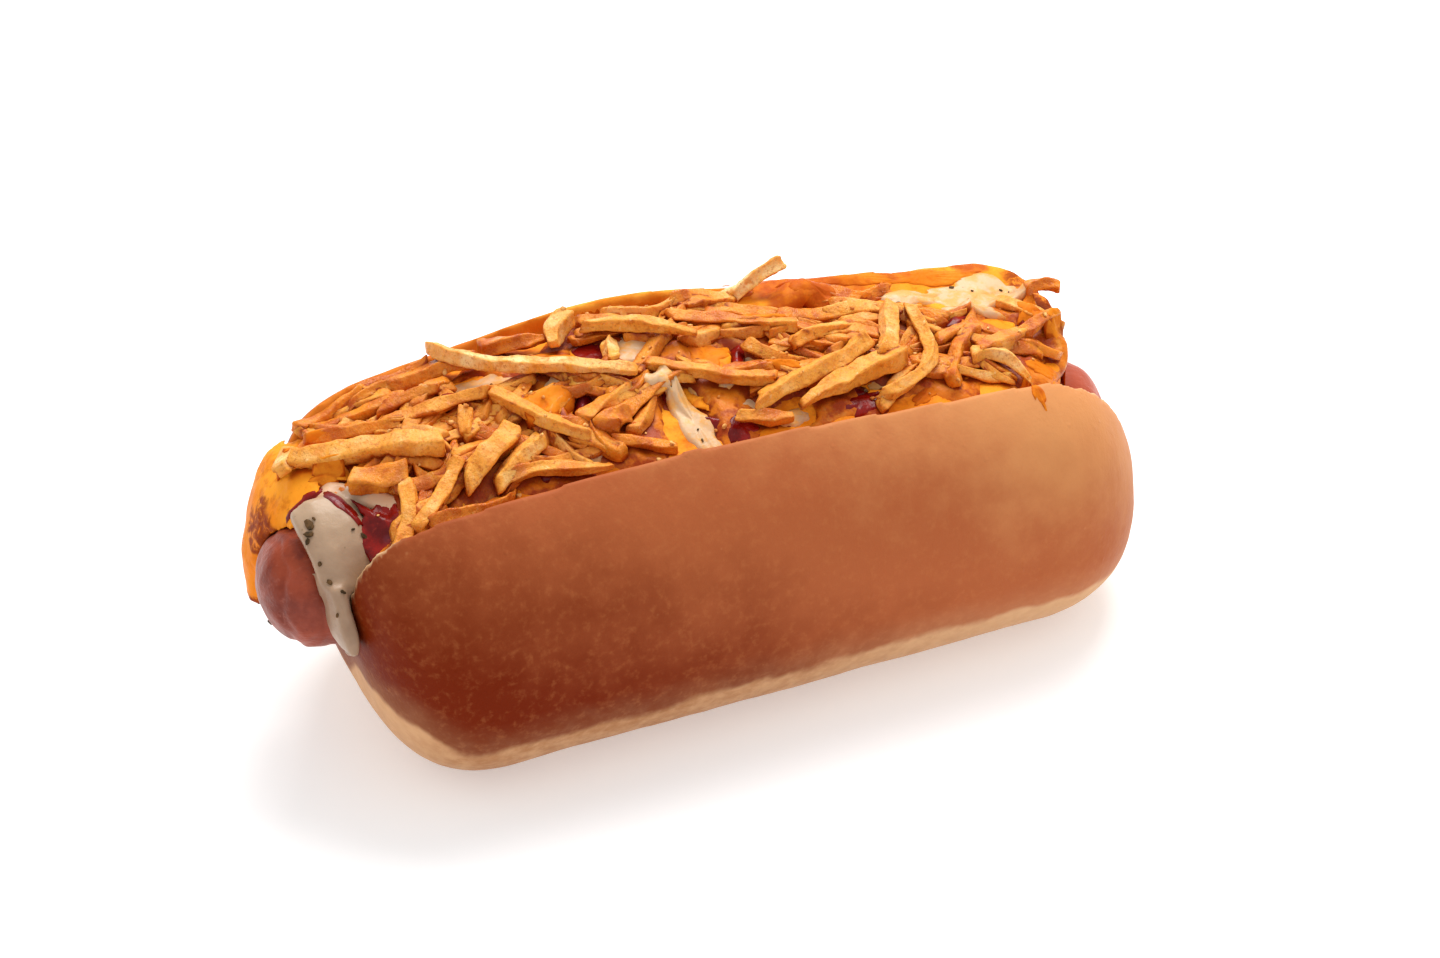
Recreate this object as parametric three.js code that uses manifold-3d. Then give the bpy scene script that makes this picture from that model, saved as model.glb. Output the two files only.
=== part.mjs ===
// A loaded hot dog: a soft brown bun slit along its top, a sausage in the slit, a bed of melted cheese with
// ketchup and a pale herb sauce, and a heap of thin fried potato sticks on top.
// Millimetres. +X runs along the bun, +Y across it, +Z up. The origin is under the middle of the bun.
import * as THREE from "three";
import { mergeVertices } from "three/addons/utils/BufferGeometryUtils.js";
import Module from "manifold-3d";

const wasm = await Module();
wasm.setup();

// Driving dimensions. The near side of the bun is the lower one, at -Y.
const GAP = 0.35; // left between neighbouring pieces

// The bun: its box, how full its sides and shoulders are, and its ends. Both ends are blunt, rounder on the
// near side, and lean to the left, so many mm for each mm up. The far side is highest left of the middle.
const BUN = { left: -75, right: 85.5, near: 34, far: 39, middle: 23, bottom: 25 };
const RISE = { near: 33, far: 37.5 };
const SIDE = { square: 0.8, top: 0.4, shoulder: 1.25 };
const END = { round: 24, dome: 29, domeOut: 8 };
const LEAN = { left: 0.22, leftFar: 0.05, below: 0.65, right: 0.12 };
const ARCH = { rise: 16, at: -14, spread: 46, drop: 2.4 };
const SLIT = { nearLip: -19, nearTop: 52, farLip: 25, farTop: 60, slack: 0.6, above: 90 };

const SAUSAGE = { left: -89, right: 82.7, radius: 11.5, height: 33.5, slope: -0.023 };

// The cheese: the bed that fills the slit and drops a little at its ends, its underside, the coat run over
// the far lip, the curtain hanging down the far left end and a folded flap.
const BED = { left: -80, right: 77, near: 50.5, far: 51.5, round: 10, crown: 4, drawnIn: 15 };
const SAG = { nearLeft: 6, nearRight: 5, far: 2, arch: 0.62 };
const FLOOR = { low: 30, left: 42 };
const COAT = { from: 4, full: 18, thins: 66, gone: 86, thick: 1.8, edge: 28.5, start: 14 };
const CURTAIN = { thick: 4.5, top: 25, tail: 7, steps: 9, narrows: 3 };
const FOLD = { left: 14, right: 36, y: 18, sway: 1.5, high: 5, wide: 3.5, thick: 3, sunk: 2 };

// The two sauces: the wave each is squeezed in, then the line itself and how much wider it starts.
const KETCHUP_WAVE = { left: -76, right: 70, middle: -0.5, sway: 10.5, wave: 30.5, peak: -19 };
const KETCHUP_LINE = { wide: 5.6, deep: 5, start: 1.1 };
const SAUCE_WAVE = { left: -60, right: 66, middle: 1.5, sway: 10.5, wave: 29, peak: -41 };
const SAUCE_LINE = { wide: 6.4, deep: 2.6, start: 0 };
const SQUEEZE = { step: 4.3, proud: 0.5, flat: 0.4, tip: 0.5, fills: 0.17 };

// The pale sauce over the left end of the sausage: a band, so many degrees round it, narrower low down and
// thicker on top, with a hanging tongue and a neck to the wave.
const SADDLE = { left: -83, right: -70, thick: 3, from: -66, to: 91 };
const STRAP = { foot: 0.55, shift: 4, thicker: 1.3, swell: 1.5 };
const TONGUE = { wide: 15, thick: 5, top: [-79, -8.5, 43], low: [-77.6, -14.5, 30.5] };
const NECK = { wide: 2.6, sunk: 1.5 };

// The heap: the mat under the loose sticks, its edge, the wells through it, and the sticks.
const HEAP = { left: -77, right: 73, near: -16, far: 22, high: 2, clear: 0.9 };
const RIM = { round: 14, ripple: 1.5, drawnIn: 4 };
const WELL = { bottom: 40, deep: 40, wobble: 0.22 };
const STICK = { step: 6, tip: 0.85, flat: 0.9, rolled: 0.6 };
const STREWN = { count: 8, shortest: 9, longest: 19, thin: 2, thick: 3.2, turn: 55 };
const LAID = { bow: 1.5, low: 1.6, high: 2.2 };

// The curtain of cheese hangs along this line: x, y, z.
const CURTAIN_LINE = [
  [-70, 12, 52],
  [-76.6, 11, 51],
  [-81.4, 11.5, 46],
  [-85.2, 13, 36],
  [-85.6, 13.2, 26],
];

// The wave of pale sauce starts from the sausage along this line: x, y.
const NECK_LINE = [
  [-77, -1.5],
  [-73.5, 3],
  [-69, 0],
  [-64, -6],
  [-59, -6],
];

// Where the heap is open and the bed shows: x, y, half length and half width.
const OPENINGS = [
  [-78, 6, 9, 6],
  [-71, -6, 6, 7],
  [-41, 13, 4, 4],
  [-26, 0, 4, 3],
  [-19, 12, 4, 4],
  [-9, -8, 5, 9],
  [4, 3, 5, 4],
  [11, -11, 4, 3],
  [23, 16, 7, 5],
  [27, -11, 3, 3],
  [55, 14, 13, 6],
  [61, 1, 7, 4],
];

// The sticks that stand out, one a row: x and y of the start, x and y of the end, thickness, how far the
// middle swings sideways, and how high the start and the end lie above the bed.
const STICKS = [
  [-47, 25, -16, -1, 2.8, -4, 5, 5],
  [-78, 10, -54, -2, 4, 0.5, 3.5, 4.5],
  [-74, 15, -57, 9, 2.8, 0, 2.5, 3],
  [-61, 11, -42, 5, 2.8, 0.5, 3, 4],
  [-42, 5, -29, -10, 2.7, -1, 4, 3.5],
  [-61, 23, -40, 19, 3.6, 0.5, 2.5, 3],
  [-60, 15, -49, 13, 2.4, 0.5, 3, 3],
  [-38, 21, -26, 18, 3.4, 0, 2.5, 2.5],
  [-21, 20, -26, 14, 3.8, -1.5, 4, 2.5],
  [-47, 5, -49, 0, 3, 0, 3, 2.5],
  [-41, -3, -53, -10, 4.6, 0, 3, 3],
  [-37, -7, -48, -12, 3.8, 0, 3, 2.5],
  [-53, -6, -64, -15, 2.8, 0.5, 4, 3.5],
  [-62, -5, -70, -18, 3, 1.5, 3, 2.5],
  [-71, -1, -61, -3, 4.4, 0, 2.5, 2.5],
  [-62, -15, -46, -15, 4, -0.5, 2.5, 2.5],
  [-47, -12, -27, -15, 2.6, 0.5, 3, 2.5],
  [-19, 16, -1, 6, 2.8, 0.5, 4, 4],
  [-13, 22, 1, 20, 3, -2, 2.5, 3],
  [0, 20, 13, 20, 3, 1.5, 3, 2.5],
  [-16, 12, -18, 5, 2.7, 0, 2, 2],
  [-13, 2, 9, -7, 2.4, -0.5, 3.5, 3.5],
  [-18, -2, -29, -6, 3.4, 0, 2.5, 2.5],
  [-20, -6, -26, -9, 3.8, 0, 2, 2],
  [29, -3, 3, -11, 3.8, 0.5, 4, 3.5],
  [35, -7, 11, -13, 4.2, -0.5, 3.5, 3.5],
  [16, 1, 33, 5, 2.8, 0.5, 3, 3],
  [-1, -12, 9, -14, 2.7, 0, 2, 2],
  [12, 21, 22, 19, 2.8, 0, 2.5, 10],
  [27, 22, 38, 12, 3, 0.5, 3.5, 3],
  [-3, 15, 19, 5, 2.6, 0.5, 3, 3],
  [39, 6, 31, -7, 3.4, 0.5, 4.5, 4],
  [42, 4, 27, -15, 2.8, 6.5, 4, 3.5],
  [48, -10, 57, -17, 3, 3.5, 3.5, 3],
  [50, -9, 66, -3, 3.6, 0, 3, 3],
  [62, -5, 72, -1, 2.4, 0, 3, 4.5],
  [71, 10, 76.5, 6, 3, 1.5, 2.5, 4.6],
  [-77.5, 12, -81, 7.5, 2.8, 0, 3.5, 2.4],
  [-72, 19, -55, 15, 3, 0.5, 2.4, 2.6],
];

const { abs, cos, sin, sign, exp, max, min, round, hypot, PI } = Math;
const mix = (a, b, t) => a + (b - a) * t;
const clamp = (v, low, high) => max(low, min(high, v));
const radians = (degrees) => (degrees * PI) / 180;
const ramp = (v, from, to) => {
  const t = clamp((v - from) / (to - from), 0, 1);
  return t * t * (3 - 2 * t);
};
const spread = (i, step) => (i * step) % 1; // evenly scattered fractions

// Joins rings of points, all with the same count, into one closed skin with a fan at each end.
function skin(rings) {
  const around = rings[0].length;
  const points = rings.flat();
  const faces = [];
  for (let r = 0; r + 1 < rings.length; r++) {
    for (let i = 0; i < around; i++) {
      const a = r * around + i;
      const b = r * around + ((i + 1) % around);
      faces.push(a, b, a + around, b, b + around, a + around);
    }
  }
  const fan = (ring, forward) => {
    const centre = new THREE.Vector3();
    rings[ring].forEach((p) => centre.addScaledVector(p, 1 / around));
    const hub = points.push(centre) - 1;
    for (let i = 0; i < around; i++) {
      const a = ring * around + i;
      const b = ring * around + ((i + 1) % around);
      faces.push(...(forward ? [hub, a, b] : [hub, b, a]));
    }
  };
  fan(0, false);
  fan(rings.length - 1, true);
  return new THREE.BufferGeometry().setFromPoints(points).setIndex(faces);
}

// A closed geometry as a manifold solid, and back.
function solid(geometry) {
  const bare = geometry.clone();
  bare.deleteAttribute("normal");
  bare.deleteAttribute("uv");
  const merged = mergeVertices(bare, 1e-4);
  return new wasm.Manifold(
    new wasm.Mesh({
      numProp: 3,
      vertProperties: new Float32Array(merged.attributes.position.array),
      triVerts: new Uint32Array(merged.index.array),
    }),
  );
}

function geometryOf(made) {
  const { numProp, numVert, vertProperties, triVerts } = made.getMesh();
  const positions = new Float32Array(numVert * 3);
  for (let i = 0; i < numVert; i++) {
    positions.set(vertProperties.subarray(i * numProp, i * numProp + 3), i * 3);
  }
  return new THREE.BufferGeometry()
    .setAttribute("position", new THREE.BufferAttribute(positions, 3))
    .setIndex(new THREE.BufferAttribute(triVerts, 1));
}

// Stations along X, closer together towards the two ends.
function stations(left, right, count) {
  return Array.from({ length: count }, (_, i) => mix(left, right, (1 - cos((PI * i) / (count - 1))) / 2));
}

// How much of its full height or width a rounded end keeps: 1 in the middle, 0 at the tip.
function endShape(fromEnd, round, power) {
  const t = clamp(1 - fromEnd / round, 0, 1);
  return (1 - t ** power) ** (1 / power);
}

// Runs a ring of [sideways, up] offsets along a list of places, square to the way it goes.
function sweep(places, ringAt) {
  return skin(
    places.map((place, i) => {
      const before = places[max(i - 1, 0)];
      const after = places[min(i + 1, places.length - 1)];
      const run = hypot(after.x - before.x, after.y - before.y) || 1;
      const side = new THREE.Vector3((before.y - after.y) / run, (after.x - before.x) / run, 0);
      return ringAt(i / (places.length - 1), i).map(([across, up]) =>
        place.clone().addScaledVector(side, across).add(new THREE.Vector3(0, 0, up)),
      );
    }),
  );
}

// An oval ring, widest level with its middle; squareness 0.5 is a true oval.
function oval(count, wide, high, squareness = 0.5, turn = 0) {
  return Array.from({ length: count }, (_, i) => {
    const a = (2 * PI * (i + 0.5)) / count;
    const y = wide * sign(cos(a)) * abs(cos(a)) ** (2 * squareness);
    const z = high * sign(sin(a)) * abs(sin(a)) ** (2 * squareness);
    return [y * cos(turn) - z * sin(turn), y * sin(turn) + z * cos(turn)];
  });
}

// Keeps the one body that matters after a cut and drops loose scrap.
function largest(made) {
  const bodies = made.decompose();
  return bodies.reduce((a, b) => (b.volume() > a.volume() ? b : a));
}

// --- bun: near and far side meet in a thick floor under the slit ---
const archAt = (x) => ARCH.rise * exp(-(((x - ARCH.at) / ARCH.spread) ** 2));
const farRise = (x) => RISE.far + archAt(x) - ARCH.drop * ramp(x, 30, 75);
const riseAt = (x, c) => mix(RISE.near, farRise(x), (c + 1) / 2); // c runs from -1 at the near side to 1

// Height of the far side's outer skin above a place on the table.
function bunTop(x, y) {
  const c = clamp(y / BUN.far, 0, 1) ** SIDE.shoulder;
  return BUN.middle + riseAt(x, c) * (1 - c * c) ** SIDE.top;
}

function bunBlank(grow) {
  const left = BUN.left - grow;
  const right = BUN.right + grow;
  const around = 32;
  const rings = stations(left, right, 24)
    .slice(1, -1)
    .map((x) => {
      const blunt = endShape(min(x - left, right - x), END.round, 3);
      const domed = endShape(min(x - left + END.domeOut, right - x), END.dome, 2);
      const toLeft = ramp(-x, 35, 77);
      const toRight = ramp(x, 45, 85);
      return Array.from({ length: around }, (_, i) => {
        const c = cos((2 * PI * i) / around);
        const s = sin((2 * PI * i) / around);
        const e = mix(domed, blunt, x < 0 ? 1 : ramp(c, -0.5, 0.8));
        const wide = (c > 0 ? BUN.far : BUN.near) + grow;
        const high = s > 0 ? riseAt(x, c) : BUN.bottom;
        const y = wide * e * sign(c) * abs(c) ** SIDE.square;
        const rise = (high + grow) * e * sign(s) * abs(s) ** SIDE.square;
        const leftLean = (LEAN.left + LEAN.leftFar * ramp(y, -5, 15)) * (s > 0 ? 1 : LEAN.below);
        const lean = leftLean * toLeft + LEAN.right * toRight;
        return new THREE.Vector3(x - lean * rise, y, max(BUN.middle + rise, -grow));
      });
    });
  return solid(skin(rings));
}

function slit(shrink) {
  const outline = new THREE.Shape();
  const r = SAUSAGE.radius + SLIT.slack - shrink;
  const near = SLIT.nearLip + shrink;
  const far = SLIT.farLip - shrink;
  outline.moveTo(near, SLIT.nearTop);
  outline.lineTo(-r, SAUSAGE.height);
  outline.absarc(0, SAUSAGE.height, r, PI, 2 * PI, false);
  outline.lineTo(far, SLIT.farTop);
  outline.lineTo(far, SLIT.above);
  outline.lineTo(near, SLIT.above);
  const bar = new THREE.ExtrudeGeometry(outline, { depth: 220, bevelEnabled: false, curveSegments: 10 });
  bar.translate(0, 0, -110);
  const alongX = new THREE.Vector3(1, 0, SAUSAGE.slope);
  const [alongY, alongZ] = [1, 2].map((i) => new THREE.Vector3().setComponent(i, 1));
  bar.applyMatrix4(new THREE.Matrix4().makeBasis(alongY, alongZ, alongX));
  return solid(bar);
}

function bun(grow) {
  return bunBlank(grow).subtract(slit(grow));
}

// --- sausage ---
const sausageMiddle = (x) => SAUSAGE.height + SAUSAGE.slope * x;

function sausage(grow) {
  const r = SAUSAGE.radius + grow;
  const left = SAUSAGE.left - grow;
  const right = SAUSAGE.right + grow;
  const domed = [0.2, 0.4, 0.6, 0.8, 1].map((turn) => r * (1 - cos((PI / 2) * turn)));
  const places = [...domed.map((d) => left + d), ...domed.map((d) => right - d).reverse()];
  const rings = places.map((x) => {
    const e = endShape(min(x - left, right - x), r, 2);
    return Array.from({ length: 20 }, (_, i) => {
      const a = (2 * PI * i) / 20;
      return new THREE.Vector3(x, r * e * cos(a), sausageMiddle(x) + r * e * sin(a));
    });
  });
  return solid(skin(rings));
}

// --- bed: the level on which the sticks lie, from the near lip up to the far lip ---
function bedTop(x, y) {
  const across = (y - SLIT.nearLip) / (SLIT.farLip - SLIT.nearLip);
  const nearTop = BED.near - SAG.nearLeft * ramp(-x, 25, 80) - SAG.nearRight * ramp(x, 40, 80);
  const farTop = BED.far + archAt(x) * SAG.arch - SAG.far * ramp(abs(x), 40, 80);
  const lumps = 0.5 * sin(x * 0.31 + y * 0.35) + 0.3 * sin(x * 0.5 - y * 0.3);
  return mix(nearTop, farTop, across) + BED.crown * sin(PI * clamp(across, 0, 1)) + lumps;
}

// --- cheese: fills the slit above the sausage, with a coat, a curtain and a fold ---
function cheeseBed(grow) {
  const left = BED.left - grow;
  const right = BED.right + grow;
  const steps = 8;
  const rings = stations(left, right, 26)
    .slice(1, -1)
    .map((x) => {
      const e = endShape(min(x - left, right - x), BED.round, 2);
      const coat = ramp(x, COAT.from, COAT.full) * (1 - ramp(x, COAT.thins, COAT.gone));
      const drawnIn = BED.drawnIn * ramp(abs(x), 58, 76);
      const nearEdge = SLIT.nearLip + SLIT.slack - grow + drawnIn;
      const farEdge = mix(SLIT.farLip - SLIT.slack, COAT.edge, coat) + grow;
      const middle = (nearEdge + farEdge) / 2;
      const top = Array.from({ length: steps + 1 }, (_, i) => {
        const y = mix(farEdge, nearEdge, i / steps);
        const lip = bunTop(x, y) + COAT.thick - bedTop(x, y);
        const overLip = max(0, lip) * coat * ramp(y, COAT.start, COAT.start + 10);
        return new THREE.Vector3(x, middle + (y - middle) * e, bedTop(x, y) + overLip + grow);
      });
      const floor = mix(FLOOR.low, FLOOR.left, ramp(-x, 64, 76));
      const low = [nearEdge, farEdge].map((y) => new THREE.Vector3(x, middle + (y - middle) * e, floor));
      return [...top, ...low];
    });
  return solid(skin(rings));
}

function curtain(grow) {
  const { thick, top, tail, steps, narrows } = CURTAIN;
  const route = new THREE.CatmullRomCurve3(CURTAIN_LINE.map((place) => new THREE.Vector3(...place)));
  const places = route.getPoints(steps);
  const rings = places.map((place, i) => {
    const run = places[min(i + 1, steps)].clone().sub(places[max(i - 1, 0)]).setY(0).normalize();
    const outward = run.clone().cross(new THREE.Vector3(0, 1, 0));
    const wide = mix(top, tail, ramp(i, narrows, steps));
    return oval(8, wide / 2 + grow, thick / 2 + grow).map(([across, out]) =>
      place.clone().addScaledVector(outward, out).add(new THREE.Vector3(0, across, 0)),
    );
  });
  return solid(skin(rings));
}

function fold(grow) {
  const places = Array.from({ length: 9 }, (_, i) => {
    const x = mix(FOLD.left - grow, FOLD.right + grow, i / 8);
    const y = FOLD.y + FOLD.sway * sin(x * 0.25);
    return new THREE.Vector3(x, y, bedTop(x, y) + FOLD.high * sin((PI * (i + 1)) / 11) - FOLD.sunk);
  });
  return solid(sweep(places, () => oval(8, FOLD.wide + grow, FOLD.thick + grow)));
}

function cheese(grow) {
  const poured = cheeseBed(grow).add(curtain(grow)).add(fold(grow));
  if (grow > 0) {
    return poured;
  }
  const rest = [bun(GAP), sausage(GAP), ketchup(GAP), whiteSauce(GAP)];
  return largest(rest.reduce((made, other) => made.subtract(other), poured).simplify(GAP / 7));
}

// --- ketchup and white sauce: each squeezed in a wave along the bed ---
function drizzle({ left, right, middle, sway, wave, peak }, { wide, deep, start }, grow) {
  const steps = round((right - left) / SQUEEZE.step);
  const rings = Array.from({ length: steps + 1 }, (_, i) => {
    const x = mix(left, right, i / steps);
    const past = i === 0 ? -grow : i === steps ? grow : 0;
    const turn = (2 * PI * (x - peak)) / wave;
    const slant = hypot(1, ((sway * 2 * PI) / wave) * sin(turn));
    const tip = min(1, SQUEEZE.tip + SQUEEZE.fills * min(i, steps - i));
    const half = (wide / 2) * tip * (1 + start * ramp(-x, 58, 68)) + grow;
    return oval(6, half * slant, deep + grow, SQUEEZE.flat).map(([across, up]) => {
      const y = middle + sway * cos(turn) + across;
      return new THREE.Vector3(x + past, y, bedTop(x, y) + SQUEEZE.proud - deep + up);
    });
  });
  return solid(skin(rings));
}

function ketchup(grow) {
  const squeezed = drizzle(KETCHUP_WAVE, KETCHUP_LINE, grow);
  if (grow > 0) {
    return squeezed;
  }
  const rest = [bun(GAP), sausage(GAP), whiteSauce(GAP)];
  return largest(rest.reduce((made, other) => made.subtract(other), squeezed).simplify(GAP / 7));
}

// A band of sauce wrapped round the left end of the sausage, its lower end a hanging tongue.
function saddle(grow) {
  const { left, right, thick, from, to } = SADDLE;
  const clear = SAUSAGE.radius + GAP;
  const middle = (left + right) / 2;
  const rings = Array.from({ length: 13 }, (_, k) => {
    const t = k / 12;
    const angle = radians(mix(from - 2 * grow, to + 2 * grow, t)) - PI;
    const half = ((right - left) / 2) * mix(STRAP.foot, 1, ramp(t, 0, 0.5)) + grow;
    const outer = clear + thick * mix(1, STRAP.thicker, t) + STRAP.swell * ramp(t, 0.55, 1) + grow;
    return Array.from({ length: 8 }, (_, i) => {
      const a = (2 * PI * (i + 0.5)) / 8;
      const r = mix(clear - grow, outer, 0.5 + 0.6 * sin(a));
      const x = middle + STRAP.shift * (1 - t) - half * cos(a);
      return new THREE.Vector3(x, r * cos(angle), sausageMiddle(x) - r * sin(angle));
    });
  });
  return solid(skin(rings));
}

// The end of that band, hanging down against the left end of the bun.
function tongue(grow) {
  const { wide, thick } = TONGUE;
  const top = new THREE.Vector3(...TONGUE.top);
  const low = new THREE.Vector3(...TONGUE.low);
  const rings = Array.from({ length: 7 }, (_, i) => {
    const t = i / 6;
    const centre = top.clone().lerp(low, t).add(new THREE.Vector3(0, 0, mix(grow, -grow, t)));
    const keep = endShape(1.12 - t, 0.5, 2);
    return oval(6, (wide / 2) * keep + grow, (thick / 2) * keep + grow).map(([across, out]) =>
      centre.clone().add(new THREE.Vector3(-out, -across, 0)),
    );
  });
  return solid(skin(rings));
}

// Where the wave of sauce starts from the top of that band.
function neck(grow) {
  const places = NECK_LINE.map(([x, y]) => new THREE.Vector3(x, y, bedTop(x, y) - NECK.sunk));
  return solid(sweep(places, () => oval(6, NECK.wide + grow, SAUCE_LINE.deep + grow, SQUEEZE.flat)));
}

function whiteSauce(grow) {
  const squeezed = drizzle(SAUCE_WAVE, SAUCE_LINE, grow).add(saddle(grow)).add(tongue(grow)).add(neck(grow));
  if (grow > 0) {
    return squeezed;
  }
  return largest(squeezed.subtract(bun(GAP)).subtract(sausage(GAP)).simplify(GAP / 7));
}

// --- fries: a matted core with the sticks that show fused on ---
function core() {
  const rings = stations(HEAP.left, HEAP.right, 18)
    .slice(1, -1)
    .map((x) => {
      const e = endShape(min(x - HEAP.left, HEAP.right - x), RIM.round, 2);
      const near = HEAP.near + RIM.ripple * sin(x * 0.4);
      const far = HEAP.far + RIM.ripple * sin(x * 0.33 + 1) - RIM.drawnIn * ramp(-x, 50, 75);
      const middle = (near + far) / 2;
      const half = ((far - near) / 2) * e;
      return Array.from({ length: 10 }, (_, i) => {
        const a = (2 * PI * i) / 10;
        const y = middle + half * cos(a);
        const up = sin(a) > 0 ? HEAP.high * sin(a) ** 0.6 : 0;
        return new THREE.Vector3(x, y, bedTop(x, y) + HEAP.clear + up);
      });
    });
  const wells = OPENINGS.map(([x, y, halfLong, halfWide]) => {
    const outline = Array.from({ length: 8 }, (_, i) => {
      const a = (2 * PI * i) / 8;
      const r = 1 + WELL.wobble * sin(3 * a + x);
      return new THREE.Vector2(x + halfLong * r * cos(a), y + halfWide * r * sin(a));
    });
    const options = { depth: WELL.deep, bevelEnabled: false };
    return solid(new THREE.ExtrudeGeometry(new THREE.Shape(outline), options).translate(0, 0, WELL.bottom));
  });
  return wells.reduce((made, well) => made.subtract(well), solid(skin(rings)));
}

function stick([x0, y0, x1, y1, thick, bow, lift0, lift1], roll) {
  const run = hypot(x1 - x0, y1 - y0);
  const steps = max(1, round(run / STICK.step));
  const places = Array.from({ length: steps + 1 }, (_, i) => {
    const t = i / steps;
    const swing = bow * sin(PI * t);
    const x = mix(x0, x1, t) + ((y0 - y1) / run) * swing;
    const y = mix(y0, y1, t) + ((x1 - x0) / run) * swing;
    return new THREE.Vector3(x, y, bedTop(x, y) + max(mix(lift0, lift1, t), thick / 2 + HEAP.clear));
  });
  const half = (thick / 2) * Math.SQRT2;
  const wide = (t) => half * mix(STICK.tip, 1, sin(PI * t));
  return solid(sweep(places, (t) => oval(4, wide(t), half * STICK.flat, 0.5, roll)));
}

// The plain short sticks that lie between the others.
function strewnSticks() {
  const { shortest, longest, thin, thick, turn } = STREWN;
  return Array.from({ length: STREWN.count }, (_, i) => {
    const long = mix(shortest, longest, spread(i, 0.7549));
    const heading = radians(mix(-turn, turn, spread(i, 0.4142)));
    const x = mix(HEAP.left + 8, HEAP.right - 8, spread(i + 0.5, 0.618));
    const y = mix(HEAP.near + 2, HEAP.far - 2, spread(i + 0.3, 0.5698));
    const [dx, dy] = [(long / 2) * cos(heading), (long / 2) * sin(heading)];
    const through = mix(thin, thick, spread(i, 0.3247));
    const bow = mix(-LAID.bow, LAID.bow, spread(i, 0.2361));
    return [x - dx, y - dy, x + dx, y + dy, through, bow, LAID.low, LAID.high];
  });
}

function fries() {
  const sticks = [...STICKS, ...strewnSticks()].map((row, i) => stick(row, STICK.rolled * sin(i * 2.4)));
  const heap = wasm.Manifold.union([core(), ...sticks]);
  const rest = [bun(GAP), sausage(GAP), cheese(GAP), ketchup(GAP), whiteSauce(GAP)];
  return largest(rest.reduce((made, other) => made.subtract(other), heap).simplify(GAP / 7));
}

const part = new THREE.Group();
function add(name, made, color, roughness) {
  const material = new THREE.MeshStandardMaterial({ color, roughness, metalness: 0 });
  const mesh = new THREE.Mesh(geometryOf(made), material);
  mesh.name = name;
  part.add(mesh);
}
add("bun", bun(0), "#a4541f", 0.5);
add("sausage", sausage(0), "#8a3b2c", 0.4);
add("cheese", cheese(0), "#f0912a", 0.45);
add("ketchup", ketchup(0), "#7c0a08", 0.25);
add("white_sauce", whiteSauce(0), "#ead2b0", 0.35);
add("fries", fries(), "#e0a356", 0.6);

export default part;
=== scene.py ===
# A loaded hot dog: a soft brown bun slit along its top, a sausage in the slit, and over it melted cheese,
# ketchup, a pale herb sauce and a heap of thin fried potato sticks. Sizes are in millimetres until a mesh is
# made, x runs along the bun, y across it towards its higher side, and z up.
import math
import random

import bpy
import numpy as np
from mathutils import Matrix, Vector, noise
from mathutils.bvhtree import BVHTree


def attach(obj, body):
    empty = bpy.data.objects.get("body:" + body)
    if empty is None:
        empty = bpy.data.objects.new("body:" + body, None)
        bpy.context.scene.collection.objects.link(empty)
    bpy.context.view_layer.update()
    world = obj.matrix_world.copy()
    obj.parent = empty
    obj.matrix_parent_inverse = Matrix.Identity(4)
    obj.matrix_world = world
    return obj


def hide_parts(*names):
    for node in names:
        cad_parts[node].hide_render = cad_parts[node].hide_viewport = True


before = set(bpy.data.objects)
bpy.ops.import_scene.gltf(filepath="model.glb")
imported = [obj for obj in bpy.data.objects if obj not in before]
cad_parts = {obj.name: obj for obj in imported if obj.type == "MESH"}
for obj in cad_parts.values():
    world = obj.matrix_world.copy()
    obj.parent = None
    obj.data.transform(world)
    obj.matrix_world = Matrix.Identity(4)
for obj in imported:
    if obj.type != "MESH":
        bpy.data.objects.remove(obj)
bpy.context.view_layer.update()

# ----------------------------------------------------------------------
# The bun. Soft enriched bread, baked close to its neighbours and glazed, so the crust is thin, brown and
# satin, and paler along the bottom edge. It is slit from the top and opened, with the crumb showing inside.
# ----------------------------------------------------------------------
MM = 0.001
BUN_LEFT, BUN_RIGHT, BUN_NEAR, BUN_FAR = -75.0, 85.5, 34.0, 39.0  # both ends, and the reach to both sides
BUN_MIDDLE, NEAR_RISE, FAR_RISE, BOTTOM = 23.0, 33.0, 37.5, 25.0  # widest level, rise above it, drop below
BUN_FULLNESS, END_ROUND = 0.8, 24.0  # 1 would give it a round section, and how far its ends are rounded
LEAN_LEFT, LEAN_FAR, LEAN_BELOW, LEAN_RIGHT = 0.22, 0.05, 0.65, 0.12  # how the ends lean outwards
ARCH_RISE, ARCH_AT, ARCH_SPREAD, ARCH_DROP = 16.0, -14.0, 46.0, 2.4  # the high middle of the far side
NEAR_LIP, NEAR_TOP, FAR_LIP, FAR_TOP = -19.0, 52.0, 25.0, 60.0  # where both lips of the slit end
SAUSAGE_RADIUS, SAUSAGE_HEIGHT, SAUSAGE_SLOPE = 11.5, 33.5, -0.023
SLIT_RADIUS = 12.1
OVERHEAD, PAST_ENDS = 90, 110  # a level above all of the food, and a place past its ends
CRUST_DARK_SHADED, CRUST_BROWN = (0.160, 0.0145, 0.0008), (0.420, 0.110, 0.037)
CRUST_GOLDEN_LIT, CRUST_FLECK = (0.655, 0.275, 0.100), (0.56, 0.20, 0.065)
PALE_SPOT, DARK_SPOT = (0.72, 0.34, 0.14), (0.12, 0.015, 0.003)
WHEAT_DEEP, WHEAT_PALE = (0.45, 0.205, 0.085), (0.60, 0.330, 0.165)
WHEAT_LIT_RIGHT, WHEAT_LEFT = (0.74, 0.455, 0.245), (0.78, 0.450, 0.230)
OIL_DEEP, OIL_BRIGHT, OIL_LEFT = (0.72, 0.215, 0.014), (0.94, 0.41, 0.048), (0.60, 0.150, 0.014)
CRUMB_DEEP, CRUMB_PALE = (0.60, 0.36, 0.17), (0.78, 0.56, 0.32)


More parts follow.
